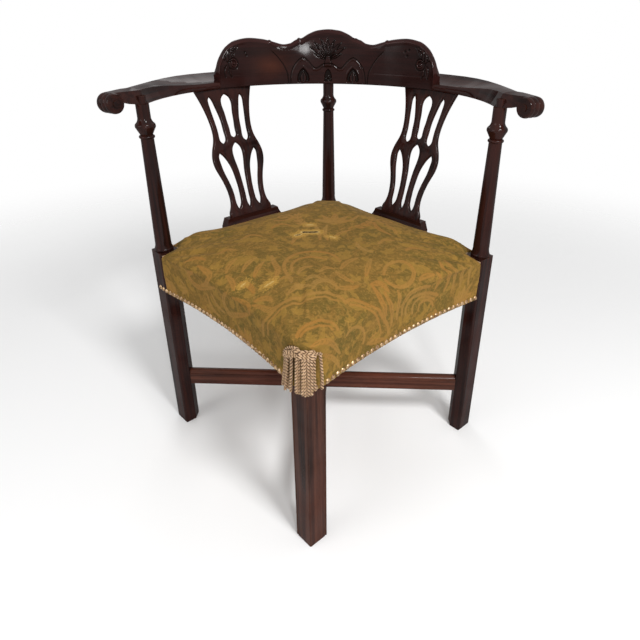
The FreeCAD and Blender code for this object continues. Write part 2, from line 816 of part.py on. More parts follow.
def seat_outline(z, front_inset, back_inset, hollow, rounding):
    """Seat plan at one height: two hollow front sides, two straight back sides, round corners."""
    front = half - front_inset
    back = half - back_inset
    to_right = Vector(1, -1, 0).normalize()
    to_back = Vector(1, 1, 0).normalize()
    start = max(-leg_inner, rounding["front"] - front + 1)
    end = min(leg_inner, back - rounding["right"] - 1)
    middle = (start + end) / 2
    dip = hollow * (1 - (middle / leg_inner) ** 2)
    share = 1 - 1 / math.sqrt(2)

    def at(p, q):
        v = to_right * p + to_back * q
        return Vector(v.x, v.y, z)

    def corner(p, q, p_way, q_way, r, start_on_p):
        """Round corner at (p, q); the ways point from the corner along its two sides."""
        a = at(p + p_way * r, q)
        b = at(p, q + q_way * r)
        bend = at(p + p_way * r * share, q + q_way * r * share)
        return arc(b, bend, a) if start_on_p else arc(a, bend, b)

    right = rounding["right"]
    rear = rounding["back"]
    left = rounding["left"]
    near = rounding["front"]
    return Part.Wire([
        line(at(front, -front + near), at(front, start)),
        arc(at(front, start), at(front - dip, middle), at(front, end)),
        line(at(front, end), at(front, back - right)),
        corner(front, back, -1, -1, right, True),
        line(at(front - right, back), at(-back + rear, back)),
        corner(-back, back, 1, -1, rear, False),
        line(at(-back, back - rear), at(-back, -front + left)),
        corner(-back, -front, 1, 1, left, True),
        line(at(-back + left, -front), at(-end, -front)),
        arc(at(-end, -front), at(-middle, -front + dip), at(-start, -front)),
        line(at(-start, -front), at(front - near, -front)),
        corner(front, -front, -1, 1, near, False),
    ])


def seat_form(offset):
    """Stuffed seat, drawn in by the offset: upright skirts, a full front edge and a low crown."""
    square = dict.fromkeys(seat_top_round, seat_corner_round)
    edge = rail_top + seat_edge_rise
    levels = [
        (cover_bottom, 0.0, 0.0, square),
    ]
    for drop, front, back in seat_skirt:
        levels.append((rail_top - drop, front, back, square))
    levels.append((rail_top, rail_edge_bulge, 0.0, dict(square, front=rail_edge_round)))
    for i in range(seat_crown_bands + 1):
        share = i / seat_crown_bands
        z = edge + (seat_crown - edge) * (1 - (1 - share) ** seat_crown_power)
        front = seat_bulge + seat_front_run * share ** seat_front_power
        back = seat_back_run * share ** seat_back_power
        fade = min(seat_round_start + share * seat_round_rate, 1.0) * (1 - seat_round_fade * share)
        rounding = {c: blend(seat_corner_round, r, fade) for c, r in seat_top_round.items()}
        levels.append((z, front, back, rounding))
    wires = []
    for z, front, back, rounding in levels:
        hollow = front_side_hollow * (1 - max(front, 0.0) / half)
        drop = offset if z > rail_top else 0.0
        wires.append(seat_outline(z - drop, front + offset, back + offset, hollow, rounding))
    return Part.makeLoft(wires, True, True)


def leg_rooms():
    """Square clearance round the three tall legs."""
    s = leg_side / 2 + soft_gap
    rooms = []
    for corner in ("left", "right", "back"):
        room = block(-s, -s, 0, leg_side, leg_side, seat_side * 2)
        room.rotate(ORIGIN, Z_AXIS, -45)
        room.translate(Vector(leg_axis, 0, 0))
        rooms.append(turned(room, corner_turn[corner]))
    return rooms


def shoe_rooms():
    room = block(-shoe_half - soft_gap, shoe_front - soft_gap, rail_top - soft_gap,
                 shoe_half + soft_gap, seat_side, seat_side * 2)
    return [turned(room, side_turn[side]) for side in ("back_left", "back_right")]


def make_cover():
    outer = seat_form(0.0)
    inner = seat_form(cover_thickness)
    cover = outer.cut(inner)
    for room in leg_rooms() + shoe_rooms():
        cover = cover.cut(room)
    return cover


def make_stuffing():
    pad = seat_form(cover_thickness + soft_gap)
    above = block(-seat_side, -seat_side, stuffing_floor, seat_side, seat_side, seat_side * 2)
    pad = pad.common(above)
    for room in leg_rooms() + shoe_rooms():
        pad = pad.cut(room)
    return largest(pad)


def make_webbing():
    straps = []
    for layer, turn in ((0, 45.0), (1, -45.0)):
        z = web_floor + layer * web_thickness
        for i in range(web_count):
            x = (i - (web_count - 1) / 2) * web_pitch
            strap = block(x - web_width / 2, -front_rail_inner - web_bearing, z,
                          x + web_width / 2, back_rail_inner + web_bearing / 4, z + web_thickness)
            straps.append(turned(strap, turn))
    return straps


def make_hessian():
    edge = back_rail_inner
    sheet = block(-edge, -edge, hessian_floor, edge, edge, hessian_floor + hessian_thickness)
    sheet = turned(sheet, 45.0)
    for room in leg_rooms():
        sheet = sheet.cut(room)
    return sheet


def nail_dome_at(x, y, lean):
    """Domed nail head against the cover, its flat side facing the chair."""
    ball = (nail_radius ** 2 + nail_dome ** 2) / (2 * nail_dome)
    cap = Part.makeSphere(ball, Vector(0, nail_dome - ball, 0))
    keep = block(-nail_radius - 1, 0, -nail_radius - 1, nail_radius + 1, nail_dome + 1, nail_radius + 1)
    nail = cap.common(keep)
    nail.rotate(ORIGIN, Z_AXIS, lean)
    nail.translate(Vector(x, y, cover_bottom + nail_rise))
    return nail


def make_nails(side):
    """Row of nails along the bottom edge of one side, from leg to leg or to the front corner."""
    hollow = front_side_hollow if side.startswith("front") else 0.0
    clear = nail_radius + nail_clearance
    start = -leg_inner + clear
    end = leg_inner - clear
    if side == "front_left":
        start = -half + seat_corner_round + clear
    if side == "front_right":
        end = half - seat_corner_round - clear
    if side == "front_left":
        start, end = -end, -start
    count = int((end - start) / nail_pitch)
    nails = []
    for i in range(count + 1):
        x = start + (end - start) * i / count
        share = max(-1.0, min(1.0, x / leg_inner))
        y = half - hollow * (1 - share * share) + soft_gap
        slope = 0.0 if abs(share) == 1.0 else 2 * hollow * share / leg_inner
        nails.append(turned(nail_dome_at(x, y, math.degrees(math.atan(slope))), side_turn[side]))
    return nails


# Tassel

def corner_front(x, stand_off):
    """Depth of a line that passes the covered front corner at a distance from its faces."""
    sharp = corner_reach + stand_off * math.sqrt(2)
    blunt = corner_reach - seat_corner_round * (math.sqrt(2) - 1) + stand_off
    return -min(sharp - abs(x), blunt)


def make_strands():
    strands = []
    r = strand_radius
    for i in range(tassel_strands):
        x = tassel_half_width * (2 * i / (tassel_strands - 1) - 1)
        y = corner_front(x, tassel_stand_off + r + tassel_layer * (i % 2))
        low = strand_bottom + strand_drop * (i % 3)
        rod = Part.makeCylinder(r, strand_top - low - r, Vector(x, y, low + r))
        tip = Part.makeSphere(r, Vector(x, y, low + r))
        strands.append(fused([rod, tip]))
    return strands


def make_knot():
    """Bunched heading of the tassel, folded round the front corner, flat where the cords join it."""
    r = knot_radius
    z = strand_top + r - knot_sink
    stand_off = tassel_stand_off + r
    bend = corner_reach + stand_off * math.sqrt(2) + corner_front(0, stand_off)
    pieces = []
    points = [Vector(x, corner_front(x, stand_off), z)
              for x in (-tassel_half_width, -bend, bend, tassel_half_width)]
    for a, b in zip(points, points[1:]):
        pieces.append(Part.makeCylinder(r, (b - a).Length, a, b - a))
    for point in points:
        pieces.append(Part.makeSphere(r, point))
    above = block(-seat_side, -seat_side, strand_top + soft_gap, seat_side, seat_side, seat_side * 2)
    return fused(pieces).common(above)


# Assembly

def save(name, shapes):
    solids = []
    for shape in shapes:
        solids += shape.Solids
    if not solids or not all(solid.isValid() for solid in solids):
        raise ValueError("bad solid in " + name)
    result = solids[0] if len(solids) == 1 else Part.makeCompound(solids)
    result.exportStep("parts/" + name + ".step")
    box = result.BoundBox
    print("%-24s %3d solid(s) %9.0f mm3  x %6.1f %6.1f  y %6.1f %6.1f  z %6.1f %6.1f" % (
        name, len(solids), result.Volume, box.XMin, box.XMax, box.YMin, box.YMax, box.ZMin, box.ZMax))


def main():
    os.makedirs("parts", exist_ok=True)
    legs = make_legs()
    for corner, leg in legs.items():
        save(corner + "_leg", [leg])
    screws = make_screws()
    save("corner_block_screws", screws)
    for side in side_turn:
        save(side + "_rail", [make_rail(side, screws)])
    for corner in corner_turn:
        save(corner + "_corner_block", [make_corner_block(corner, screws)])
    save("side_to_side_stretcher", [make_stretcher(0, ("left", "right"), False)])
    save("front_to_back_stretcher", [make_stretcher(90, ("front", "back"), True)])
    heads = []
    for side in ("back_left", "back_right"):
        splat, head, foot = make_splat(side)
        heads.append(head)
        save(side.replace("back_", "") + "_splat", [splat])
        save(side.replace("back_", "") + "_shoe", [make_shoe(side, foot)])
    left_arm, right_arm = make_arms(heads)
    save("left_arm", [left_arm])
    save("right_arm", [right_arm])
    save("crest_rail", [make_crest((left_arm, right_arm))])
    save("crest_screws", crest_screw_shapes())
    save("seat_webbing", make_webbing())
    save("seat_hessian", [make_hessian()])
    save("seat_stuffing", [make_stuffing()])
    save("seat_cover", [make_cover()])
    for side in side_turn:
        save("nails_" + side, make_nails(side))
    save("tassel_strands", make_strands())
    save("tassel_knot", [make_knot()])


main()
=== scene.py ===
import math

import bmesh
import bpy
import numpy as np
from mathutils import Matrix, Vector


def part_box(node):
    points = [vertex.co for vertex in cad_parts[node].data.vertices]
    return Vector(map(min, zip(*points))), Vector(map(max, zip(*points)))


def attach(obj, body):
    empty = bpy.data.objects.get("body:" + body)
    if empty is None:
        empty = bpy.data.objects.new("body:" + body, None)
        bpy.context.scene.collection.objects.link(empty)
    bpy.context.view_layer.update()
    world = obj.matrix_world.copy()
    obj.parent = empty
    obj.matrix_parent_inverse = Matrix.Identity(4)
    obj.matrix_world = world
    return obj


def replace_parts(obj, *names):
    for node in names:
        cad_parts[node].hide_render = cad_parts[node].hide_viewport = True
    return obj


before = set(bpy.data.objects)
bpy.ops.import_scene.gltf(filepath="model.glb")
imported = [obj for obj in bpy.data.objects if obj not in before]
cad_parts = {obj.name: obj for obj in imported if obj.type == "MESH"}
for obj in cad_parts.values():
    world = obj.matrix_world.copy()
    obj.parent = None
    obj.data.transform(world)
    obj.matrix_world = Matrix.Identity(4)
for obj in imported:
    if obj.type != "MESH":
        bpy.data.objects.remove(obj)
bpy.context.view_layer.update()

# Corner chair, metres: the front corner points to -Y, the crest stands at +Y.

# Seat
SEAT_HALF = 0.240
COVER_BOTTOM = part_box("seat_cover")[0].z
RAIL_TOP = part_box("front_leg")[1].z
SHOULDER = RAIL_TOP + 0.006
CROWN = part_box("seat_cover")[1].z
FRONT_HOLLOW = 0.014
FRONT_BULGE = -0.006
RAIL_EDGE_BULGE = -0.005
RAIL_EDGE_ROUND = 0.022
FRONT_RUN = 0.150
FRONT_POWER = 1.6
BACK_RUN = 0.160
BACK_POWER = 1.25
CROWN_POWER = 2.0
PLAIN_CORNER = 0.012
TOP_CORNERS = {"front": 0.045, "right": 0.135, "back": 0.050, "left": 0.135}
ROUND_START = 0.75
LEG_SIDE = 0.040
# How finely the seat is laid out: points round it, points along a side and round a corner, and levels
SEAT_POINTS = 360
SIDE_STEPS = 60
CORNER_STEPS = 13
SKIRT_LEVELS = 14
EDGE_LEVELS = 5
CROWN_LEVELS = 26
CENTRE_RINGS = 9
# Room for the legs and shoes: middle height and half height of each, and how far back a shoe's goes
LEG_ROOM = (0.45, 0.5)
SHOE_ROOM = (RAIL_TOP + 0.1, 0.1)
SHOE_ROOM_BACK = 0.30
# Points this near to the skirts' plan are brought back to it
SKIRT_SNAP = 0.0045
LEG_AXIS = SEAT_HALF * math.sqrt(2) - LEG_SIDE / math.sqrt(2)
SHOE_HALF = 0.073
SHOE_FRONT = 0.219
COVER_THICKNESS = 0.0022
FABRIC_GAP = 0.0004
PAD_VOXEL = 0.005
PAD_SWELL_CAP = 0.006
PAD_PRESSURE = 4.0
CLOTH_FRAMES = 20
SOFT_REACH = 0.022
SOFT_ROUNDS = 30
# Middle x and y, rise and reach: sunk beside the back leg, filled out beside the left and right legs
CUSHION_LIFTS = [
    (-0.082, 0.218, -0.005, 0.036), (0.084, 0.218, -0.006, 0.036),
    (-0.266, 0.044, 0.0080, 0.040), (0.270, 0.040, 0.0065, 0.038),
]

# Crest, whose front stands on a circle round the seat's middle
CREST_RADIUS = 0.2995
CREST_FOOT = 0.338
CREST_END_FOOT = 0.322
CREST_FOOT_TAPER = 36.0
# Radius along which the carving is laid out, in millimetres
CREST_ARC = 301.0
CREST_COLUMNS = 641
CREST_FRONT_ROWS = 118
CREST_TOP_ROWS = 15
CREST_BACK_ROWS = 24
CREST_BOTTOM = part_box("crest_rail")[0].z
CREST_FOOT_TOP = 0.726
CREST_LEAN = 0.006
CREST_TOP_THICKNESS = 0.015
CREST_ROUND = 0.007
ARM_UNDERSIDE = 0.702
CREST_OUTLINE = [
    (0.0, 0.1110), (4.2, 0.1088), (7.8, 0.1020), (10.7, 0.0935), (13.1, 0.0900), (15.4, 0.0835),
    (18.0, 0.0815), (22.0, 0.0865), (26.8, 0.0927), (32.3, 0.0953), (38.0, 0.0910), (42.0, 0.0800),
    (44.5, 0.0660), (46.5, 0.0480), (47.2, 0.0330),
]

# Splats
SPLAT_THICKNESS = 0.0085
SPLAT_LEAN = math.radians(16.6)
SPLAT_FRONT = 0.231
SPLAT_BASE = 0.446
SPLAT_LENGTH = (ARM_UNDERSIDE - SPLAT_BASE) / math.cos(SPLAT_LEAN)
SPLAT_ROUND = 0.0037
SPLAT_HOUSED = 0.006

# Tassel
CORD_RADIUS = 0.0025
HEAD_CORD_RADIUS = 0.0024
CORD_PITCH = 0.0116
CORD_STEP = 0.0006
CORD_SIDES = 24
STRAND_STEPS = 24
LOOP_STEPS = 26
BAND_STEPS = 30
STRAND_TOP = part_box("tassel_strands")[1].z
STRAND_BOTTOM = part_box("tassel_strands")[0].z
TASSEL_STAND_OFF = 0.0051
TASSEL_LAYER = 0.0042
TASSEL_SIDE_FALL = 0.42
TASSEL_LEVEL_HALF = 0.012
TASSEL_LEAN = 0.75
# Each cord's place across at its top and its end, its layer, and its extra length, in millimetres
TASSEL_CORDS = [
    (-31.0, -39.5, 0, 7.0), (-27.6, -34.8, 1, 8.5), (-24.2, -30.0, 0, 6.5), (-20.8, -25.0, 1, 4.0),
    (-29.2, -37.0, 0, 4.0), (-25.8, -32.2, 0, 3.0), (-22.4, -27.6, 0, 5.5),
    (-12.6, -15.4, 1, -1.0), (-8.4, -10.6, 0, 1.0), (-4.2, -5.8, 1, -1.5), (0.0, -1.2, 1, 0.5),
    (4.2, 3.6, 1, -1.0), (8.4, 8.2, 1, -2.0), (12.6, 12.8, 0, -4.0), (-10.4, -12.8, 0, 2.0),
    (-2.2, -3.6, 0, 1.5), (6.2, 6.0, 0, -3.0),
    (20.5, 23.0, 1, -4.0),
]
# Arched loops on the left, folded cords on the right: ends, height and distance from the corner
TASSEL_LOOPS = [
    (-0.0345, -0.0080, 0.0125, 0.0080), (-0.0310, -0.0090, 0.0085, 0.0105),
    (-0.0290, -0.0130, 0.0055, 0.0125), (-0.0260, -0.0030, 0.0100, 0.0075),
    (-0.0340, -0.0200, 0.0035, 0.0135), (-0.0160, 0.0010, 0.0075, 0.0090),
    (-0.0110, 0.0060, 0.0095, 0.0075), (-0.0080, 0.0120, 0.0070, 0.0100),
    (-0.0020, 0.0145, 0.0085, 0.0075), (0.0030, 0.0150, 0.0050, 0.0115),
    (-0.0130, 0.0020, 0.0045, 0.0125), (0.0050, 0.0225, 0.0040, 0.0085),
]
# Cords that bind the head: ends, rise and distance from the corner
TASSEL_BANDS = [
    (-0.0340, -0.0170, 0.0005, 0.0130), (-0.0130, 0.0150, 0.0005, 0.0135),
    (-0.0125, 0.0145, 0.0040, 0.0130), (-0.0320, -0.0180, 0.0040, 0.0130),
]

# The camera of the photograph
CAMERA_PLACE = (0.0663, -0.9755, 0.8522)
CAMERA_YAW = -0.0364
CAMERA_PITCH = 0.4722
CAMERA_ROLL = 0.0042
CAMERA_LENS = 30.26
CAMERA_SHIFT = (-0.0251, -0.0568)


# Mesh helpers

def placed(name, data):
    """A new object of the data, in the scene."""
    piece = bpy.data.objects.new(name, data)
    bpy.context.scene.collection.objects.link(piece)
    return piece


def add_mesh(name, vertices, faces, smooth=True):
    mesh = bpy.data.meshes.new(name)
    mesh.from_pydata([tuple(v) for v in vertices], [], faces)
    mesh.validate()
    mesh.update()
    if smooth:
        mesh.shade_smooth()
    return placed(name, mesh)


def ring_faces(rings, sides):
    """Faces between closed rings of points."""
    faces = []
    for i in range(rings - 1):
        for j in range(sides):
            a = i * sides + j
            b = i * sides + (j + 1) % sides
            faces.append((a, b, b + sides, a + sides))
    return faces


def tube_faces(rings, sides):
    """Faces between closed rings, and one over each end."""
    ends = [tuple(range(sides - 1, -1, -1)), tuple(range((rings - 1) * sides, rings * sides))]
    return ring_faces(rings, sides) + ends


def evaluated_mesh(piece):
    graph = bpy.context.evaluated_depsgraph_get()
    return bpy.data.meshes.new_from_object(piece.evaluated_get(graph))


def take_in_modifiers(piece):
    mesh = evaluated_mesh(piece)
    piece.modifiers.clear()
    piece.data = mesh


def modify(piece, kind, **settings):
    """Shapes the piece's mesh with one modifier."""
    modifier = piece.modifiers.new("shaping", kind)
    for name, value in settings.items():
        setattr(modifier, name, value)
    take_in_modifiers(piece)


def coordinates(mesh):
    values = np.empty(len(mesh.vertices) * 3)
    mesh.vertices.foreach_get("co", values)
    return values.reshape(-1, 3)


def set_coordinates(mesh, values):
    mesh.vertices.foreach_set("co", values.reshape(-1))
    mesh.update()


def paint(mesh, layers):
    """Stores one number per point under each layer's name."""
    for name, values in layers.items():
        layer = mesh.attributes.new(name, "FLOAT", "POINT")
        layer.data.foreach_set("value", np.asarray(values, dtype=np.float32))


def smooth_through(xs, ys, x):
    """Smooth curve through the points, without overshoot between them."""
    xs = np.asarray(xs, float)
    ys = np.asarray(ys, float)
    steps = np.diff(ys) / np.diff(xs)
    slopes = np.zeros(len(xs))
    same = steps[1:] * steps[:-1] > 0
    slopes[1:-1][same] = 2 * (steps[1:] * steps[:-1])[same] / (steps[1:] + steps[:-1])[same]
    slopes[-1] = steps[-1]
    i = np.clip(np.searchsorted(xs, x) - 1, 0, len(xs) - 2)
    h = xs[i + 1] - xs[i]
    t = (x - xs[i]) / h
    return (ys[i] * (1 + 2 * t) * (1 - t) ** 2 + ys[i + 1] * t ** 2 * (3 - 2 * t)
            + h * (slopes[i] * t * (1 - t) ** 2 - slopes[i + 1] * t ** 2 * (1 - t)))


def eased(value, start, end):
    share = np.clip((value - start) / (end - start), 0, 1)
    return share * share * (3 - 2 * share)


# Material helpers

class Bench:
    """Adds nodes to one tree and joins them as they are made."""

    def __init__(self, tree):
        self.tree = tree

    def feed(self, node, inputs):
        """Links or sets inputs of a node; colours are given without their alpha."""
        for key, value in inputs.items():
            target = node.inputs[key]
            if isinstance(value, bpy.types.NodeSocket):
                self.tree.links.new(value, target)
            else:
                target.default_value = (*value, 1.0) if target.type == "RGBA" else value
        return node

    def add(self, kind, inputs=None, **settings):
        node = self.tree.nodes.new("ShaderNode" + kind)
        for name, value in settings.items():
            setattr(node, name, value)
        return self.feed(node, inputs or {})

    def math(self, operation, a, b=0.0):
        return self.add("Math", {0: a, 1: b}, operation=operation).outputs[0]

    def plus(self, a, b):
        return self.math("ADD", a, b)

    def minus(self, a, b):
        return self.math("SUBTRACT", a, b)

    def times(self, a, b):
        return self.math("MULTIPLY", a, b)

    def mix(self, share, a, b):
        return self.add("Mix", {0: share, 6: a, 7: b}, data_type="RGBA").outputs[2]

    def tint(self, colour, coats):
        """Lays shades over a colour, each through a mask and with a greatest share."""
        for mask, share, shade in coats:
            colour = self.mix(self.times(mask, share), colour, shade)
        return colour

    def between(self, value, low, high, to_low=0.0, to_high=1.0):
        node = self.add("MapRange", {0: value, 1: low, 2: high, 3: to_low, 4: to_high},
                        interpolation_type="SMOOTHSTEP")
        return node.outputs[0]

    def place(self):
        return self.add("TexCoord").outputs["Object"]

    def noise(self, place, scale, detail=3.0, rough=0.5, bend=0.0):
        node = self.add("TexNoise", {"Vector": place, "Scale": scale, "Detail": detail,
                                               "Roughness": rough, "Distortion": bend})
        return node.outputs[0]

    def stretched(self, place, scale):
        return self.add("VectorMath", {0: place, 1: scale}, operation="MULTIPLY").outputs[0]

    def parts(self, place):
        return self.add("SeparateXYZ", {0: place}).outputs

    def attribute(self, name):
        return self.add("Attribute", attribute_name=name).outputs["Fac"]

    def grouped(self, group, inputs):
        return self.add("Group", inputs, node_tree=group).outputs


def new_group(name, outputs, number=None, kind="NodeSocketFloat"):
    """Node group that takes a place and perhaps a number; returns it, its bench and its two ends."""
    group = bpy.data.node_groups.new(name, "ShaderNodeTree")
    group.interface.new_socket("Place", in_out="INPUT", socket_type="NodeSocketVector")
    if number:
        made = group.interface.new_socket(number[0], in_out="INPUT", socket_type="NodeSocketFloat")
        made.default_value = number[1]
    for socket in outputs:
        group.interface.new_socket(socket, in_out="OUTPUT", socket_type=kind)
    return (group, Bench(group), group.nodes.new("NodeGroupInput").outputs,
            group.nodes.new("NodeGroupOutput"))


def material(name):
    made = bpy.data.materials.new(name)
    made.use_nodes = True
    made.node_tree.nodes.clear()
    bench = Bench(made.node_tree)
    shader = bench.add("BsdfPrincipled")
    bench.add("OutputMaterial", {"Surface": shader.outputs[0]})
    return made, bench, shader


def set_height(bench, shader, height, distance, strength):
    bump = bench.add("Bump", {"Height": height, "Distance": distance, "Strength": strength})
    bench.feed(shader, {"Normal": bump.outputs[0]})


# Shared effects

def make_grain_group():
    """Streaks, pores and clouds of a wood whose grain runs along the first coordinate."""
    group, bench, given, out = new_group("Wood grain", ("Streaks", "Pores", "Clouds"))
    streaks = bench.noise(bench.stretched(given[0], (2.5, 120.0, 120.0)), 1.0, 5.0, 0.6)
    pores = bench.noise(bench.stretched(given[0], (60.0, 1400.0, 1400.0)), 1.0, 2.0, 0.6)
    clouds = bench.noise(bench.stretched(given[0], (5.0, 16.0, 16.0)), 1.0, 3.0, 0.5)
    bench.feed(out, {0: bench.between(streaks, 0.35, 0.65), 1: bench.between(pores, 0.52, 0.68),
                     2: bench.between(clouds, 0.35, 0.68)})
    return group


# Radius at which an angle round the seat is measured as a distance
ARM_ARC = 0.32


def make_round_group():
    """Turns a place on the chair into distance round the seat's middle, distance from it and height."""
    group, bench, given, out = new_group("Round the seat", ["Place"], kind="NodeSocketVector")
    x, y, z = bench.parts(given[0])
    across = bench.math("SQRT", bench.plus(bench.times(x, x), bench.times(y, y)))
    along = bench.times(bench.math("ARCTAN2", x, y), ARM_ARC)
    bench.feed(out, {0: bench.add("CombineXYZ", {0: along, 1: across, 2: z}).outputs[0]})
    return group


def make_wear_group():
    """Rubbed arrises: a mask that is high where the surface bends within the radius."""
    group, bench, given, out = new_group("Rubbed edges", ["Mask"], ("Radius", 0.003))
    bevel = bench.add("Bevel", {"Radius": given[1]}, samples=4)
    flat = bench.add("NewGeometry")
    turn = bench.add("VectorMath", {0: bevel.outputs[0], 1: flat.outputs["Normal"]},
                     operation="DOT_PRODUCT")
    edge = bench.between(turn.outputs["Value"], 0.97, 0.75)
    patchy = bench.between(bench.noise(given[0], 45.0), 0.35, 0.65)
    bench.feed(out, {0: bench.times(edge, patchy)})
    return group


def make_weave_group():
    """Plain weave of crossing threads, with height and a thread-to-thread shade."""
    group, bench, given, out = new_group("Weave", ("Height", "Shade"), ("Thread", 0.001))
    x, y, z = bench.parts(given[0])
    step = bench.math("DIVIDE", math.pi, given[1])
    waves = [bench.math("SINE", bench.times(way, step)) for way in (x, y)]
    height = bench.add("MapRange", {0: bench.times(*waves), 1: -1.0, 2: 1.0}).outputs[0]
    per_thread = bench.math("DIVIDE", 1.0, given[1])
    thread = bench.add("VectorMath", {0: given[0], "Scale": per_thread}, operation="SCALE").outputs[0]
    shade = bench.noise(bench.stretched(thread, (0.7, 0.05, 0.2)), 1.0, 2.0)
    bench.feed(out, {0: height, 1: shade})
    return group


GRAIN = make_grain_group()
ROUND = make_round_group()
WEAR = make_wear_group()
WEAVE = make_weave_group()


def grain_place(bench, way):
    """Coordinates whose first runs along the grain: up, across by an angle, or round the seat."""
    place = bench.place()
    if way == "up":
        x, y, z = bench.parts(place)
        return bench.add("CombineXYZ", {0: z, 1: x, 2: y}).outputs[0]
    if way == "round":
        return bench.grouped(ROUND, {0: place})[0]
    turn = (0, 0, -math.radians(way))
    return bench.add("Mapping", {"Vector": place, "Rotation": turn}).outputs[0]


# Materials

# Near black for the pores, and for the painted shade in carved hollows
PORE_AND_SHADE_BLACK = (0.0060, 0.0028, 0.0022)
BARE_RED = (0.105, 0.0300, 0.0160)
PORE_BROWN = (0.12, 0.07, 0.04)
THREAD_WIDTH = 0.0011


def make_mahogany(name, way, dark, lit, worn, wear_amount, roughness):
    """Dark polished wood, with painted shade and a duller finish in the hollows of carving that carries
    a darkening attribute.
    """
    made, bench, shader = material(name)
    place = grain_place(bench, way)
    streaks, pores, clouds = bench.grouped(GRAIN, {0: place})[:3]
    mask = bench.grouped(WEAR, {0: place, 1: 0.0025})[0]
    # Painted shade: the darkening attribute paints the carving's grooves and recesses near black and
    # makes them rougher
    darkening = bench.attribute("darkening")
    rubbed = bench.times(bench.attribute("rub"), bench.between(clouds, 0.1, 0.9, 0.5, 1.0))
    red = (lit[0] * 1.35, lit[1] * 1.05, lit[2])
    colour = bench.tint(bench.mix(streaks, dark, lit), [
        (clouds, 0.35, red), (pores, 0.4, PORE_AND_SHADE_BLACK), (mask, wear_amount, worn),
        (rubbed, 1.0, BARE_RED), (darkening, 1.0, PORE_AND_SHADE_BLACK)])
    smudge = bench.noise(place, 18.0)
    rough = bench.between(smudge, 0.3, 0.7, roughness - 0.05, roughness + 0.06)
    rough = bench.plus(rough, bench.times(darkening, 0.3))
    wax = bench.between(smudge, 0.3, 0.7, 0.30, 0.21)
    bench.feed(shader, {
        "Base Color": colour, "Roughness": bench.plus(rough, bench.times(mask, 0.10)),
        "Coat Weight": bench.minus(wax, bench.times(bench.plus(darkening, mask), 0.10)),
        "Coat Roughness": 0.13, "Specular IOR Level": 0.0})
    set_height(bench, shader, bench.minus(bench.times(streaks, 0.4), pores), 0.00012, 0.3)
    return made


def make_plain_wood(name, way, pale, deep):
    made, bench, shader = material(name)
    streaks, pores, clouds = bench.grouped(GRAIN, {0: grain_place(bench, way)})[:3]
    colour = bench.tint(bench.mix(streaks, pale, deep), [(clouds, 0.4, deep), (pores, 0.5, PORE_BROWN)])
    rough = bench.between(streaks, 0.0, 1.0, 0.62, 0.78)
    bench.feed(shader, {"Base Color": colour, "Roughness": rough})
    set_height(bench, shader, streaks, 0.0004, 0.5)
    return made


def make_metal(name, bright, dull, roughness):
    made, bench, shader = material(name)
    tarnish = bench.between(bench.noise(bench.place(), 260.0, 3.0, 0.6), 0.35, 0.65)
    rough = bench.between(tarnish, 0.0, 1.0, roughness, roughness + 0.2)
    bench.feed(shader, {
        "Base Color": bench.mix(tarnish, bright, dull), "Roughness": rough, "Metallic": 1.0})
    set_height(bench, shader, tarnish, 0.0002, 0.4)
    return made


def make_coarse_cloth(name, thread, pale, deep):
    made, bench, shader = material(name)
    height, shade = bench.grouped(WEAVE, {0: grain_place(bench, 45.0), 1: thread})[:2]
    colour = bench.tint(bench.mix(height, deep, pale), [(shade, 0.5, deep)])
    rough = bench.between(height, 0.0, 1.0, 0.95, 0.85)
    bench.feed(shader, {"Base Color": colour, "Roughness": rough})
    set_height(bench, shader, height, thread * 0.4, 0.8)
    return made


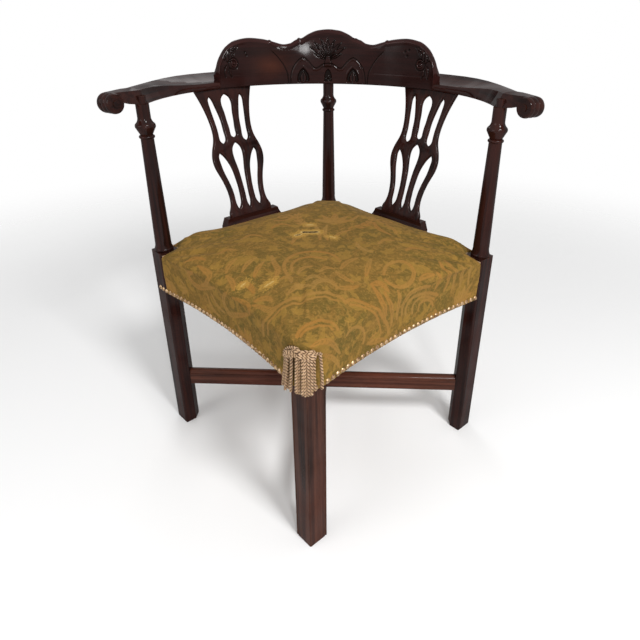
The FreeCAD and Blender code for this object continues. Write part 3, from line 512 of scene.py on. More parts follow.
def make_damask():
    """Olive ground with gold and orange figures, faded, rubbed and slubbed."""
    made, bench, shader = material("worn_damask")
    place = grain_place(bench, 0.0)
    figure, fine, lines, tone, tear = map(bench.attribute, ("figure", "fine", "lines", "tone", "tear"))
    coarse = bench.minus(bench.noise(place, 260.0, 3.0, 0.6), 0.5)
    ragged = bench.times(coarse, 4.0)
    inside = bench.between(bench.plus(figure, ragged), 1.6, 0.4)
    small = bench.between(bench.plus(fine, ragged), 0.9, 0.0)
    lined = bench.between(bench.plus(lines, ragged), 0.5, -0.4)
    swirl = bench.noise(place, 30.0, 2.5, 0.55, 1.6)
    curls = bench.between(bench.plus(swirl, bench.times(coarse, 0.10)), 0.515, 0.545)
    veins = bench.between(bench.math("ABSOLUTE", bench.minus(swirl, 0.5)), 0.010, 0.004)
    patches = bench.between(bench.noise(place, 7.0, 4.0, 0.55), 0.35, 0.65)
    faded = bench.between(bench.noise(place, 60.0, 4.0, 0.6), 0.42, 0.62)
    twist = bench.noise(place, 88.0, 3.0, 0.65, 1.9)
    slubs = bench.noise(bench.stretched(place, (170.0, 520.0, 300.0)), 1.0, 3.0, 0.7)
    worn = bench.between(bench.noise(place, 14.0, 5.0, 0.65), 0.50, 0.72)
    bare = bench.between(bench.plus(tear, bench.times(coarse, 40.0)), 16.0, 7.0)
    frayed = bench.plus(tear, bench.times(coarse, 7.0))
    height, shade = bench.grouped(WEAVE, {0: place, 1: THREAD_WIDTH})[:2]
    ground = bench.mix(patches, (0.108, 0.080, 0.018), (0.150, 0.088, 0.020))
    gold = bench.mix(tone, (0.352, 0.156, 0.033), (0.322, 0.180, 0.046))
    colour = bench.tint(ground, [
        (faded, 0.45, (0.225, 0.124, 0.026)),
        (curls, 0.50, (0.262, 0.136, 0.031)),
        (veins, 0.45, (0.105, 0.066, 0.012)),
        (bench.between(twist, 0.53, 0.58), 0.36, (0.380, 0.215, 0.052)),
        (bench.between(twist, 0.47, 0.41), 0.60, (0.112, 0.074, 0.018)),
        (small, 0.60, (0.320, 0.180, 0.036)),
        (inside, 0.78, gold),
        (lined, 0.50, (0.125, 0.076, 0.015)),
        (bench.between(slubs, 0.42, 0.62), 0.26, (0.318, 0.180, 0.050)),
        (worn, 0.32, (0.262, 0.145, 0.034)),
        (bare, 0.75, (0.470, 0.265, 0.055)),
        # The pale fringe of a tear, its dark hole, and the shade between threads
        (bench.between(frayed, 4.6, 2.0), 0.75, (0.62, 0.44, 0.17)),
        (bench.between(frayed, 1.3, 0.5), 1.0, (0.030, 0.013, 0.004)),
        (shade, 0.20, (0.120, 0.080, 0.022)),
    ])
    bench.feed(shader, {
        "Base Color": colour, "Roughness": bench.between(inside, 0.0, 1.0, 0.92, 0.80),
        "Specular IOR Level": 0.06, "Sheen Weight": 0.015, "Sheen Roughness": 0.4})
    relief = bench.plus(bench.times(inside, 0.6), bench.times(height, 0.5))
    relief = bench.plus(relief, bench.times(small, 0.3))
    relief = bench.minus(relief, bench.between(frayed, 1.2, 0.4, 0.0, 3.0))
    set_height(bench, shader, relief, 0.0005, 0.6)
    return made


def make_bullion():
    """Twisted cord: pale on the plies, with painted shade in the gaps between them."""
    made, bench, shader = material("twisted_bullion")
    place = bench.place()
    threads = bench.noise(bench.stretched(place, (900.0, 900.0, 350.0)), 1.0, 3.0, 0.7)
    colour = bench.mix(bench.between(threads, 0.35, 0.65), (0.34, 0.195, 0.100), (0.66, 0.46, 0.290))
    # Painted shade: the gaps between the plies are painted near black
    clear_of_gap_shade = bench.between(bench.attribute("depth"), 0.35, 0.90)
    colour = bench.mix(clear_of_gap_shade, (0.042, 0.018, 0.007), colour)
    # Patches of dirt on the cord
    darkening = bench.between(bench.noise(place, 90.0), 0.45, 0.70)
    bench.feed(shader, {
        "Base Color": bench.tint(colour, [(darkening, 0.40, (0.27, 0.160, 0.070))]),
        "Roughness": bench.between(threads, 0.0, 1.0, 0.55, 0.80), "Specular IOR Level": 0.25})
    set_height(bench, shader, threads, 0.0004, 0.7)
    return made


DARK = (0.0100, 0.0040, 0.0036)
LIT = (0.0300, 0.0090, 0.0066)
WORN = (0.110, 0.0480, 0.0280)
mahogany_up = make_mahogany("mahogany_upright", "up", DARK, LIT, WORN, 0.40, 0.30)
mahogany_round = make_mahogany("mahogany_bent", "round", DARK, LIT, WORN, 0.22, 0.34)
mahogany_carved = make_mahogany("mahogany_carved", "round", (0.0160, 0.0058, 0.0054),
                                (0.0310, 0.0092, 0.0080), WORN, 0.10, 0.24)
mahogany_cross = {
    turn: make_mahogany("mahogany_cross_%d" % turn, turn, (0.040, 0.0135, 0.0085),
                        (0.098, 0.0340, 0.0210), WORN, 0.5, 0.42) for turn in (0, 90)}
mahogany_worn = make_mahogany("mahogany_front_leg", "up", (0.014, 0.0054, 0.0038),
                              (0.068, 0.0245, 0.0150), (0.150, 0.0780, 0.0500), 0.60, 0.40)
beech = {turn: make_plain_wood("beech_%s" % name, turn, (0.47, 0.31, 0.18), (0.33, 0.20, 0.11))
         for turn, name in ((45, "plus"), (-45, "minus"))}
steel = make_metal("plain_steel", (0.45, 0.44, 0.42), (0.20, 0.17, 0.14), 0.35)
brass = make_metal("aged_brass", (0.52, 0.36, 0.21), (0.170, 0.095, 0.048), 0.40)
jute = make_coarse_cloth("jute_webbing", 0.0022, (0.45, 0.36, 0.24), (0.24, 0.18, 0.11))
hessian = make_coarse_cloth("brown_hessian", 0.0014, (0.42, 0.31, 0.18), (0.20, 0.14, 0.08))
damask = make_damask()
bullion = make_bullion()


def dress(node, made):
    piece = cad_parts[node]
    piece.data.materials.clear()
    piece.data.materials.append(made)


def dress_frame():
    for corner in ("left", "right", "back"):
        dress(corner + "_leg", mahogany_up)
        dress(corner + "_corner_block", beech[45])
    dress("front_leg", mahogany_worn)
    dress("front_corner_block", beech[45])
    for side, turn in (("back_left", 45), ("back_right", -45),
                       ("front_left", -45), ("front_right", 45)):
        dress(side + "_rail", beech[turn])
        dress("nails_" + side, brass)
    dress("side_to_side_stretcher", mahogany_cross[0])
    dress("front_to_back_stretcher", mahogany_cross[90])
    for node in ("left_arm", "right_arm", "left_shoe", "right_shoe"):
        dress(node, mahogany_round)
    dress("corner_block_screws", steel)
    dress("crest_screws", steel)
    dress("seat_webbing", jute)
    dress("seat_hessian", hessian)


# Seat cover

def seat_plan(front_inset, back_inset, hollow, rounding):
    """Seat plan as evenly spaced points, whose coordinates run along the seat's two front sides."""
    front = SEAT_HALF - front_inset
    back = SEAT_HALF - back_inset
    run = SEAT_HALF - LEG_SIDE
    near, right, rear, left = (rounding[c] for c in ("front", "right", "back", "left"))
    start = max(-run, near - front + 0.001)
    end = min(run, back - right - 0.001)
    middle = (start + end) / 2
    way = np.linspace(start, end, SIDE_STEPS)
    dip = hollow * (1 - (middle / run) ** 2) * (1 - ((way - middle) / (end - start) * 2) ** 2)

    def bend(p, q, r, degrees):
        a = np.radians(np.linspace(degrees, degrees + 90, CORNER_STEPS))
        return np.stack([p + r * np.cos(a), q + r * np.sin(a)], axis=1)

    points = np.concatenate([
        bend(front - near, near - front, near, -90), np.stack([front - dip, way], axis=1),
        bend(front - right, back - right, right, 0), bend(rear - back, back - rear, rear, 90),
        bend(left - back, left - front, left, 180), np.stack([-way[::-1], dip[::-1] - front], axis=1)])
    points = np.concatenate([points, points[:1]])
    length = np.concatenate([[0], np.cumsum(np.hypot(*np.diff(points, axis=0).T))])
    at = np.linspace(0, length[-1], SEAT_POINTS, endpoint=False)
    return np.stack([np.interp(at, length, points[:, 0]), np.interp(at, length, points[:, 1])], axis=1)


def to_chair(p, q):
    """Seat coordinates to the chair's X and Y."""
    return (p + q) / math.sqrt(2), (q - p) / math.sqrt(2)


def to_seat(x, y):
    """The chair's X and Y to seat coordinates."""
    return (x - y) / math.sqrt(2), (x + y) / math.sqrt(2)


def skirt_insets(z):
    """Front and back insets of the skirts at a height."""
    heights = [COVER_BOTTOM, RAIL_TOP - 0.030, RAIL_TOP - 0.010, RAIL_TOP, SHOULDER]
    front = np.interp(z, heights, [0.0, -0.001, -0.0035, RAIL_EDGE_BULGE, FRONT_BULGE])
    back = np.interp(z, heights, [0.0, 0.0, -0.0005, 0.0, 0.0])
    return front, back


def corner_rounds(share):
    """Roundings that go from plain to those of the top with the share."""
    return {c: PLAIN_CORNER + (r - PLAIN_CORNER) * share for c, r in TOP_CORNERS.items()}


def seat_levels():
    """Heights, insets, hollow and corner rounding from the skirt's bottom to the crown."""
    levels = []
    low = np.linspace(COVER_BOTTOM, RAIL_TOP, SKIRT_LEVELS)
    for z in np.concatenate([low, np.linspace(RAIL_TOP, SHOULDER, EDGE_LEVELS)[1:]]):
        front, back = skirt_insets(z)
        rounding = corner_rounds(ROUND_START * max(0.0, (z - RAIL_TOP) / (SHOULDER - RAIL_TOP)))
        rounding["front"] = np.interp(z, [RAIL_TOP - 0.010, RAIL_TOP, SHOULDER],
                                      [PLAIN_CORNER, RAIL_EDGE_ROUND, rounding["front"]])
        levels.append((z, front, back, FRONT_HOLLOW, rounding))
    for share in np.linspace(0, 1, CROWN_LEVELS)[1:]:
        z = SHOULDER + (CROWN - SHOULDER) * (1 - (1 - share) ** CROWN_POWER)
        front = FRONT_BULGE + FRONT_RUN * share ** FRONT_POWER
        back = BACK_RUN * share ** BACK_POWER
        rounding = corner_rounds(min(ROUND_START + share * 3.0, 1.0) * (1 - 0.5 * share))
        levels.append((z, front, back, FRONT_HOLLOW * (1 - max(front, 0.0) / SEAT_HALF), rounding))
    return levels


def seat_body():
    rings = []
    for z, front, back, hollow, rounding in seat_levels():
        plan = seat_plan(front, back, hollow, rounding)
        x, y = to_chair(plan[:, 0], plan[:, 1])
        rings.append(np.stack([x, y, np.full(SEAT_POINTS, z)], axis=1))
    # The crown is filled with shrinking rings, so that it can be shaped too
    top = rings[-1]
    middle = top[:, :2].mean(axis=0)
    for share in np.linspace(1, 0, CENTRE_RINGS)[1:-1]:
        inner = top.copy()
        inner[:, :2] = middle + (top[:, :2] - middle) * share
        rings.append(inner)
    return add_mesh("seat_cushion", np.concatenate(rings), tube_faces(len(rings), SEAT_POINTS))


def room_boxes():
    """Spaces that the legs and shoes take up: middle, half size and turn of each box."""
    boxes = []
    inner = LEG_SIDE / 2 + FABRIC_GAP
    out = LEG_AXIS + (LEG_SIDE - inner) / 2 * math.sqrt(2)
    side = (LEG_SIDE + inner) / 2
    height, half_height = LEG_ROOM
    for turn in (0, 90, 180):
        a = math.radians(turn)
        middle = Vector((out * math.cos(a), out * math.sin(a), height))
        boxes.append((middle, (side, side, half_height), a + math.pi / 4))
    out = (SHOE_FRONT - FABRIC_GAP + SHOE_ROOM_BACK) / 2
    height, half_height = SHOE_ROOM
    for a in (-math.pi / 4, math.pi / 4):
        middle = Vector((out * math.sin(a), out * math.cos(a), height))
        boxes.append((middle, (SHOE_HALF + FABRIC_GAP, SHOE_ROOM_BACK - out, half_height), -a))
    return boxes


def cut_rooms(piece):
    for index, (middle, half_size, turn) in enumerate(room_boxes()):
        corners = []
        for x, y, z in ((x, y, z) for z in (-1, 1) for y in (-1, 1) for x in (-1, 1)):
            corner = Vector((x * half_size[0], y * half_size[1], z * half_size[2]))
            corners.append(Matrix.Rotation(turn, 3, "Z") @ corner + middle)
        faces = [(0, 2, 3, 1), (4, 5, 7, 6), (0, 1, 5, 4), (2, 6, 7, 3), (0, 4, 6, 2), (1, 3, 7, 5)]
        tool = add_mesh("room_%d" % index, corners, faces, smooth=False)
        modify(piece, "BOOLEAN", operation="DIFFERENCE", solver="EXACT", object=tool)
        bpy.data.objects.remove(tool)


def room_place(points, room):
    """Points in a room's own directions, from its middle."""
    middle, half_size, turn = room
    c, s = math.cos(turn), math.sin(turn)
    dx = points[:, 0] - middle.x
    dy = points[:, 1] - middle.y
    return dx * c + dy * s, -dx * s + dy * c


def soften_upright_edges(mesh):
    """Relaxes the fabric close to the legs, so that its upright edges turn in softly."""
    points = coordinates(mesh)
    near = np.zeros(len(points), bool)
    for room in room_boxes()[:3]:
        u, v = room_place(points, room)
        side = room[1][0]
        near |= (np.abs(u) < side + SOFT_REACH) & (np.abs(v) < side + SOFT_REACH)
    near &= points[:, 2] > COVER_BOTTOM + 0.006
    ends = np.empty(len(mesh.edges) * 2, dtype=np.int64)
    mesh.edges.foreach_get("vertices", ends)
    a, b = ends.reshape(-1, 2).T
    count = np.bincount(a, minlength=len(points)) + np.bincount(b, minlength=len(points))
    for _ in range(SOFT_ROUNDS):
        total = np.zeros_like(points)
        for k in range(3):
            total[:, k] = np.bincount(a, points[b, k], len(points))
            total[:, k] += np.bincount(b, points[a, k], len(points))
        mean = total / np.maximum(count, 1)[:, None]
        points[near] += 0.5 * (mean[near] - points[near])
    set_coordinates(mesh, points)


def set_skirts(points):
    """Brings the skirts' outside back to their plan, so that the nails sit on it."""
    p, q = to_seat(points[:, 0], points[:, 1])
    z = points[:, 2]
    run = SEAT_HALF - LEG_SIDE
    front, back = (SEAT_HALF - inset for inset in skirt_insets(z))
    weight = 1 - eased(z, RAIL_TOP - 0.034, RAIL_TOP - 0.006)
    dip_q = FRONT_HOLLOW * np.maximum(0.0, 1 - (q / run) ** 2)
    dip_p = FRONT_HOLLOW * np.maximum(0.0, 1 - (p / run) ** 2)
    # The front corner keeps its round
    r = PLAIN_CORNER
    corner = (p > front - r) & (q < r - front)
    reach = np.hypot(p - front + r, q + front - r)
    scale = np.where(corner & (reach > r * 0.6), 1 + weight * (r / np.maximum(reach, 1e-6) - 1), 1.0)
    p_corner = front - r + (p - front + r) * scale
    q_corner = r - front + (q + front - r) * scale

    def snapped(way, plan):
        return np.where(np.abs(way - plan) < SKIRT_SNAP, way + weight * (plan - way), way)

    p = np.where(corner, p_corner, snapped(snapped(p, front - dip_q), -back))
    q = np.where(corner, q_corner, snapped(snapped(q, dip_p - front), back))
    points[:, 0], points[:, 1] = to_chair(p, q)
    return points


def lift_corners(points):
    """Sinks the cushion beside the back leg and fills it out beside the left and right legs."""
    upper = eased(points[:, 2], RAIL_TOP, SHOULDER + 0.006)
    for x, y, rise, reach in CUSHION_LIFTS:
        away = np.hypot(points[:, 0] - x, points[:, 1] - y)
        points[:, 2] += rise * np.exp(-(away / reach) ** 2) * upper
    return points


def swell(piece):
    """Lets the pad swell as cloth under pressure, held at its skirts, and caps how far it moves."""
    rest = coordinates(piece.data)
    held = piece.vertex_groups.new(name="held")
    weights = 1 - eased(rest[:, 2], RAIL_TOP - 0.012, SHOULDER + 0.004)
    for index in np.flatnonzero(weights > 0):
        held.add([int(index)], float(weights[index]), "REPLACE")
    cloth = piece.modifiers.new("swell", "CLOTH")
    cloth.settings.vertex_group_mass = "held"
    cloth.settings.use_pressure = True
    cloth.settings.uniform_pressure_force = PAD_PRESSURE
    cloth.settings.effector_weights.gravity = 0.0
    cloth.settings.quality = 5
    cloth.point_cache.frame_start = 1
    cloth.point_cache.frame_end = CLOTH_FRAMES
    for number in range(1, CLOTH_FRAMES + 1):
        bpy.context.scene.frame_set(number)
    take_in_modifiers(piece)
    piece.vertex_groups.clear()
    bpy.context.scene.frame_set(1)
    moved = coordinates(piece.data) - rest
    far = np.linalg.norm(moved, axis=1, keepdims=True)
    moved *= np.minimum(1.0, PAD_SWELL_CAP / np.maximum(far, 1e-9))
    set_coordinates(piece.data, rest + moved)


def keep_out_of_rooms(points):
    """Moves points that have come into a leg or shoe out through its nearest side."""
    for room in room_boxes():
        middle, half_size, turn = room
        u, v = room_place(points, room)
        high = np.abs(points[:, 2] - middle.z) < half_size[2]
        inside = (np.abs(u) < half_size[0]) & (np.abs(v) < half_size[1]) & high
        by_u = inside & (half_size[0] - np.abs(u) < half_size[1] - np.abs(v))
        by_v = inside & ~by_u
        u = np.where(by_u, np.sign(u) * half_size[0], u)
        v = np.where(by_v, np.sign(v) * half_size[1], v)
        c, s = math.cos(turn), math.sin(turn)
        points[inside, 0] = (middle.x + u * c - v * s)[inside]
        points[inside, 1] = (middle.y + u * s + v * c)[inside]
    return points


def make_cushion():
    pad = seat_body()
    cut_rooms(pad)
    modify(pad, "REMESH", mode="VOXEL", voxel_size=PAD_VOXEL)
    swell(pad)
    modify(pad, "SUBSURF", levels=1)
    soften_upright_edges(pad.data)
    shaped = lift_corners(set_skirts(coordinates(pad.data)))
    set_coordinates(pad.data, keep_out_of_rooms(shaped))
    # The underside is open, so that only the skirts and the top become cloth
    trim = bmesh.new()
    trim.from_mesh(pad.data)
    under = [f for f in trim.faces
             if f.calc_center_median().z < COVER_BOTTOM + 0.004 and f.normal.z < -0.5]
    bmesh.ops.delete(trim, geom=under, context="FACES")
    trim.to_mesh(pad.data)
    trim.free()
    modify(pad, "SOLIDIFY", thickness=COVER_THICKNESS, offset=-1.0)
    pad.data.shade_smooth()
    paint_damask(pad.data)
    pad.data.materials.clear()
    pad.data.materials.append(damask)
    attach(pad, "root")
    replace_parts(pad, "seat_cover", "seat_stuffing")


# Damask figure, laid out on the flat cloth

def leaf(x, y, root, heading, length, width, bend=0.0):
    """Distance to a pointed leaf, negative inside."""
    c, s = math.cos(heading), math.sin(heading)
    along = (x - root[0]) * c + (y - root[1]) * s
    across = -(x - root[0]) * s + (y - root[1]) * c
    share = np.clip(along / length, 0, 1)
    across = np.abs(across - bend * length * share ** 2)
    side = across - width * np.sin(math.pi * share ** 0.8)
    beyond = np.maximum(-along, along - length)
    return np.where(beyond > 0, np.hypot(beyond, across), side)


def nearest(x, y, figures):
    """Distance to the nearest of several figures, each given as its function and what that takes."""
    best = np.full(x.shape, 1.0)
    for figure, *given in figures:
        best = np.minimum(best, figure(x, y, *given))
    return best


def volute(x, y, centre, radius, turns, start, hand, width):
    """Distance to a spiral that thins towards its eye."""
    dx = x - centre[0]
    dy = (y - centre[1]) * hand
    r = np.hypot(dx, dy)
    a = np.mod(np.arctan2(dy, dx) - start, 2 * math.pi)
    best = np.full(x.shape, 1.0)
    for n in range(int(turns) + 1):
        t = a + 2 * math.pi * n
        at = radius * np.exp(-0.16 * t)
        d = np.abs(r - at) - width / 2 * (at / radius) ** 0.5
        best = np.where(t < turns * 2 * math.pi, np.minimum(best, d), best)
    return np.minimum(best, r - width * 0.45)


def branch(x, y, root, heading, length, curl, leaves, leaf_length, leaf_width):
    """Distance to a curved stem with leaves on both sides and one at its tip."""
    figures = []
    place = np.array(root, float)
    step = length / leaves
    for i in range(leaves + 1):
        size = 1.0 - 0.45 * i / leaves
        for side in (-1, 1):
            figures.append((leaf, place, heading + side * 0.75, leaf_length * size,
                            leaf_width * size, -side * 0.25))
        figures.append((leaf, place, heading, step * 1.25, leaf_width * 0.45 * size))
        place = place + step * np.array([math.cos(heading), math.sin(heading)])
        heading += curl / leaves
    return nearest(x, y, figures)


def fan(x, y, root, heading, spread, count, length, width):
    """Distance to leaves that spread from one root."""
    shares = [2 * i / (count - 1) - 1 for i in range(count)]
    return nearest(x, y, [(leaf, root, heading + spread * share, length * (1 - 0.25 * abs(share)),
                           width, 0.22 * share) for share in shares])


# Widest and narrowest width, then x and y of each point on the flat cloth, in millimetres
CLOTH_STROKES = [
    (5, 5, -105, -285, -92, -275, -72, -270, -61, -260, -47, -250, -29, -242, -5, -235, 30, -227, 47,
     -231, 54, -238), (5, 5, 54, -238, 63, -228, 80, -225, 100, -227, 132, -231, 162, -235, 182, -247),
    (3, 3, -90, -292, -73, -282, -57, -269, -43, -259, -22, -252, 0, -244, 28, -237, 44, -240),
    (3, 3, 61, -239, 81, -233, 99, -237, 128, -240, 158, -253),
    (4.5, 4.5, -15, -322, -13, -312, -5, -301, 7, -292, 19, -287, 33, -287, 43, -290, 49, -297),
    (3, 3, -9, -321, -6, -312, 7, -302, 19, -297, 33, -296, 39, -299),
    (4, 4, 74, -296, 74, -288, 82, -278, 99, -271, 115, -272, 127, -286),
    (4.5, 4.5, 196, -200, 184, -190, 182, -178, 195, -162, 220, -146, 252, -135),
    (3.5, 3.5, 211, -190, 200, -178, 204, -165, 224, -151, 248, -145),
    (3.5, 3.5, 222, -179, 217, -169, 225, -158, 244, -152, 257, -155),
    (9, 3, 151, -236, 137, -224, 119, -214, 108, -198, 97, -182),
    (8, 3, 173, -231, 156, -215, 131, -205, 118, -188),
    (8, 3, 178, -216, 163, -202, 151, -189, 141, -176),
    (8, 3, 186, -205, 172, -192, 170, -175, 183, -157, 212, -137),
    (10, 3, -231, -112, -257, -107, -256, -119, -233, -139, -186, -161),
    (9, 3, -215, -105, -198, -122, -187, -138, -201, -143, -230, -135),
    (8, 3, -246, -83, -231, -79, -205, -93),
    (10, 4, -156, -185, -182, -187, -189, -202, -163, -223, -122, -240),
    (9, 3, -145, -199, -120, -216, -107, -233, -114, -242), (7, 3, -229, -155, -237, -176, -226, -200),
    (6, 2.5, -213, -160, -214, -181, -201, -202), (10, 3, -98, -231, -80, -240, -63, -252, -50, -250),
    (9, 3, -93, -222, -77, -222, -62, -234), (11, 4, -37, -230, -28, -217, -20, -211, -4, -214),
    (12, 4, 2, -221, 7, -202, 22, -195, 38, -205), (9, 3, 37, -165, 49, -180, 65, -186),
    (9, 3, 39, -210, 54, -206, 74, -192), (9, 3, 45, -154, 53, -130, 72, -109),
    (8, 3, 87, -162, 91, -135, 96, -109), (11, 4, 96, -180, 111, -172, 124, -183),
    (9, 4, -80, -106, -70, -137, -61, -165, -66, -184), (8, 3, -55, -186, -42, -184, -34, -201),
    (6, 4, -43, -178, -52, -153, -50, -119, -31, -94, -3, -86, 27, -98, 42, -124),
    (5, 3, -36, -168, -40, -142, -29, -119, -4, -110, 17, -119), (8, 3, -26, -176, -18, -154, -5, -148),
    (8, 3, 10, -168, 19, -153, 33, -155), (9, 3, -11, -197, 1, -183, 11, -189),
    (7, 3, 263, -122, 253, -105, 231, -97, 222, -79), (7, 3, 282, -109, 265, -93, 242, -82, 234, -63),
    (7, 3, 302, -96, 282, -81, 259, -67), (6, 3, 324, -81, 301, -68, 277, -55),
    (7, 3, 232, -133, 227, -119, 214, -111), (8, 3, 181, -138, 193, -125, 208, -117),
    (8, 3, 161, -65, 178, -44, 200, -47),
    (6, 4, 118, -148, 122, -126, 137, -110, 153, -104, 167, -112, 171, -130, 164, -149, 148, -165, 131,
     -168, 119, -160), (8, 3, 106, 74, 115, 32, 136, 5), (7, 3, 131, 66, 143, 41, 150, 15),
    (7, 3, 44, 66, 61, 85, 74, 115), (8, 3, 27, -25, 38, 5, 57, 22),
    (8, 3, -50, -54, -42, -19, -24, -8), (8, 3, -14, 46, -4, 9, 1, -31), (7, 3, 10, 47, 8, 9, 16, -31),
    (9, 3, -107, -112, -119, -125, -126, -146), (8, 3, -91, -129, -99, -144, -102, -166),
    (8, 3, -144, -108, -153, -120, -156, -140), (9, 3, -125, -171, -110, -182, -96, -204),
    (8, 3, -154, -148, -140, -166, -134, -185), (7, 3, -183, -83, -170, -73, -150, -80),
    (7, 3, -149, -31, -137, -12, -112, -17), (7, 3, -99, 25, -86, 49, -65, 43),
    (7, 3, 69, -39, 81, -71, 99, -81), (7, 3, 111, -45, 123, -26, 142, -23),
    (10, 4, 10, -344, 22, -332, 49, -324, 80, -327), (9, 4, 40, -349, 71, -343, 97, -347),
]


def stroke(x, y, wide, thin, points):
    """Distance to a curved stroke that is widest at its middle, negative inside."""
    path = curve_through(points, 4)
    low, high = path.min(axis=0) - 25, path.max(axis=0) + 25
    best = np.full(x.shape, 20.0)
    near = (x > low[0]) & (x < high[0]) & (y > low[1]) & (y < high[1])
    u, v = x[near], y[near]
    found = np.full(u.shape, 20.0)
    parts = len(path) - 1
    for i in range(parts):
        a = path[i]
        way = path[i + 1] - a
        t = np.clip(((u - a[0]) * way[0] + (v - a[1]) * way[1]) / max(way.dot(way), 1e-9), 0, 1)
        width = thin + (wide - thin) * np.sin(math.pi * (i + t) / parts)
        found = np.minimum(found, np.hypot(u - a[0] - way[0] * t, v - a[1] - way[1] * t) - width / 2)
    best[near] = found
    return best


REPEAT_HALF = 0.155
REPEAT_HEIGHT = 0.58
REPEAT_START = -0.10
SPRIG_ROWS = 15
SPRIG_COLUMNS = 6


def repeated_figure(x, y):
    """Figures of a mirrored repeat: distances in metres to the bold and the small ones."""
    u = REPEAT_HALF - np.abs(np.mod(x, 2 * REPEAT_HALF) - REPEAT_HALF)
    v = np.mod(y - REPEAT_START, REPEAT_HEIGHT) + REPEAT_START
    up = math.pi / 2
    bold = nearest(u, v, [
        (fan, (0.108, 0.030), up, 0.75, 5, 0.085, 0.0085),
        (volute, (0.088, 0.165), 0.030, 1.6, 0.4, 1, 0.0085),
        (volute, (0.132, 0.200), 0.018, 1.5, 2.2, -1, 0.0065),
        (fan, (0.0, 0.196), up, 1.15, 7, 0.050, 0.0070),
        (branch, (0.020, 0.140), 0.55, 0.085, -1.4, 5, 0.024, 0.0055),
        (branch, (0.060, 0.215), 1.30, 0.110, -1.9, 6, 0.026, 0.0060),
        (volute, (0.050, 0.300), 0.027, 1.7, 3.4, 1, 0.0080),
        (fan, (REPEAT_HALF, 0.270), up, 0.95, 7, 0.070, 0.0075),
        (branch, (0.010, 0.335), 0.35, 0.120, 1.3, 6, 0.026, 0.0060),
        (fan, (0.0, 0.375), up, 0.80, 5, 0.065, 0.0080),
        (volute, (0.108, 0.415), 0.026, 1.5, 0.8, -1, 0.0070),
    ])
    sprigs = [
        (fan, (0.0, -0.030), up, 1.0, 5, 0.050, 0.0048),
        (branch, (0.030, 0.255), 0.20, 0.080, 0.8, 5, 0.017, 0.0038),
        (branch, (0.135, 0.345), 2.6, 0.085, -1.0, 5, 0.018, 0.0038),
    ]
    scatter = np.random.default_rng(12)
    for row in range(SPRIG_ROWS):
        for column in range(SPRIG_COLUMNS):
            shift_x, shift_y, turn = scatter.uniform(-1, 1, 3)
            size, blades = scatter.uniform(0.7, 1.5), int(scatter.integers(1, 5))
            root = (0.013 + 0.027 * column + 0.013 * shift_x, -0.085 + 0.040 * row + 0.018 * shift_y)
            sprigs.append((fan, root, up + 2.4 * turn, 0.8, blades + 1, 0.017 * size, 0.0030 * size))
    return bold, nearest(u, v, sprigs)


# How the repeat lies under the drawn figures, in metres
REPEAT_SHIFT = (-0.024, 0.319)
# Bounds of the drawn figures on the cloth, in millimetres: where each begins to fade and ends
DRAWN_BACK = (-10.0, 60.0)
DRAWN_SIDE = (270.0, 330.0)


def damask_figure(x, y):
    """Distances in millimetres to the bold figures, the small ones and the drawn lines."""
    bold, small = repeated_figure(x + REPEAT_SHIFT[0], y + REPEAT_SHIFT[1])
    bold, small = bold * 1000, small * 1000
    u, v = x * 1000, y * 1000
    # The drawn figures lie on the front two thirds, the repeat takes over behind and on the skirts
    outward = np.abs(u) + np.maximum(-v - 120.0, 0.0)
    drawn = (1 - eased(v, *DRAWN_BACK)) * (1 - eased(outward, *DRAWN_SIDE))
    bold = bold + 9.0 * drawn
    for wide, thin, *flat in CLOTH_STROKES:
        bold = np.minimum(bold, stroke(u, v, wide, thin, np.reshape(flat, (-1, 2))))
    lines = np.abs(bold + 3.2) - 0.5
    edge = np.abs(bold - 0.6) - 0.4
    return bold, small, np.minimum(lines, edge)


CLOTH_TURN_POWER = 7


def cloth_place(points):
    """Where each point of the cover lies on the flat cloth: the skirts are turned up round the edge."""
    x, y, z = points.T
    p, q = to_seat(x, y)
    gp, gq = (np.sign(way) * (np.abs(way) / SEAT_HALF) ** CLOTH_TURN_POWER for way in (p, q))
    size = np.maximum(np.hypot(gp, gq), 1e-6)
    drop = np.maximum(SHOULDER + 0.006 - z, 0.0) * np.minimum(size * 2, 1)
    p = p + gp / size * drop
    q = q + gq / size * drop
    return to_chair(p, q)


TEARS = [
    # middle x, middle y, half length, half width, turn
    (-0.021, 0.008, 0.0130, 0.0026, 0.10), (-0.043, -0.008, 0.0040, 0.0010, 0.5),
    (0.024, -0.016, 0.0060, -0.0018, -0.6), (-0.024, 0.048, 0.0050, -0.0012, 0.1),
    (-0.072, -0.192, 0.0070, -0.0018, 0.5), (-0.118, -0.178, 0.0040, -0.0020, 0.6),
]


def tear_distance(x, y):
    best = np.full(x.shape, 1.0)
    for middle_x, middle_y, half_length, half_width, turn in TEARS:
        c, s = math.cos(turn), math.sin(turn)
        u = (x - middle_x) * c + (y - middle_y) * s
        v = -(x - middle_x) * s + (y - middle_y) * c
        best = np.minimum(best, np.hypot(np.maximum(np.abs(u) - half_length, 0.0), v) - half_width)
    return best


def paint_damask(mesh):
    x, y = cloth_place(coordinates(mesh))
    bold, small, lines = damask_figure(x, y)
    tone = 0.5 + 0.5 * np.sin(x * 31.0 + 1.7) * np.sin(y * 27.0 + 0.6)
    layers = {"figure": bold, "fine": small, "lines": lines, "tone": tone,
              "tear": tear_distance(x, y) * 1000}
    paint(mesh, {name: np.clip(values, -20, 20) for name, values in layers.items()})


# Crest

def groove(distance, width, depth):
    return -depth * np.exp(-(distance / width) ** 2)


def raised(distance, softness, height):
    """Height of a raised figure whose distance is negative inside."""
    return height * eased(-distance, -softness, softness)


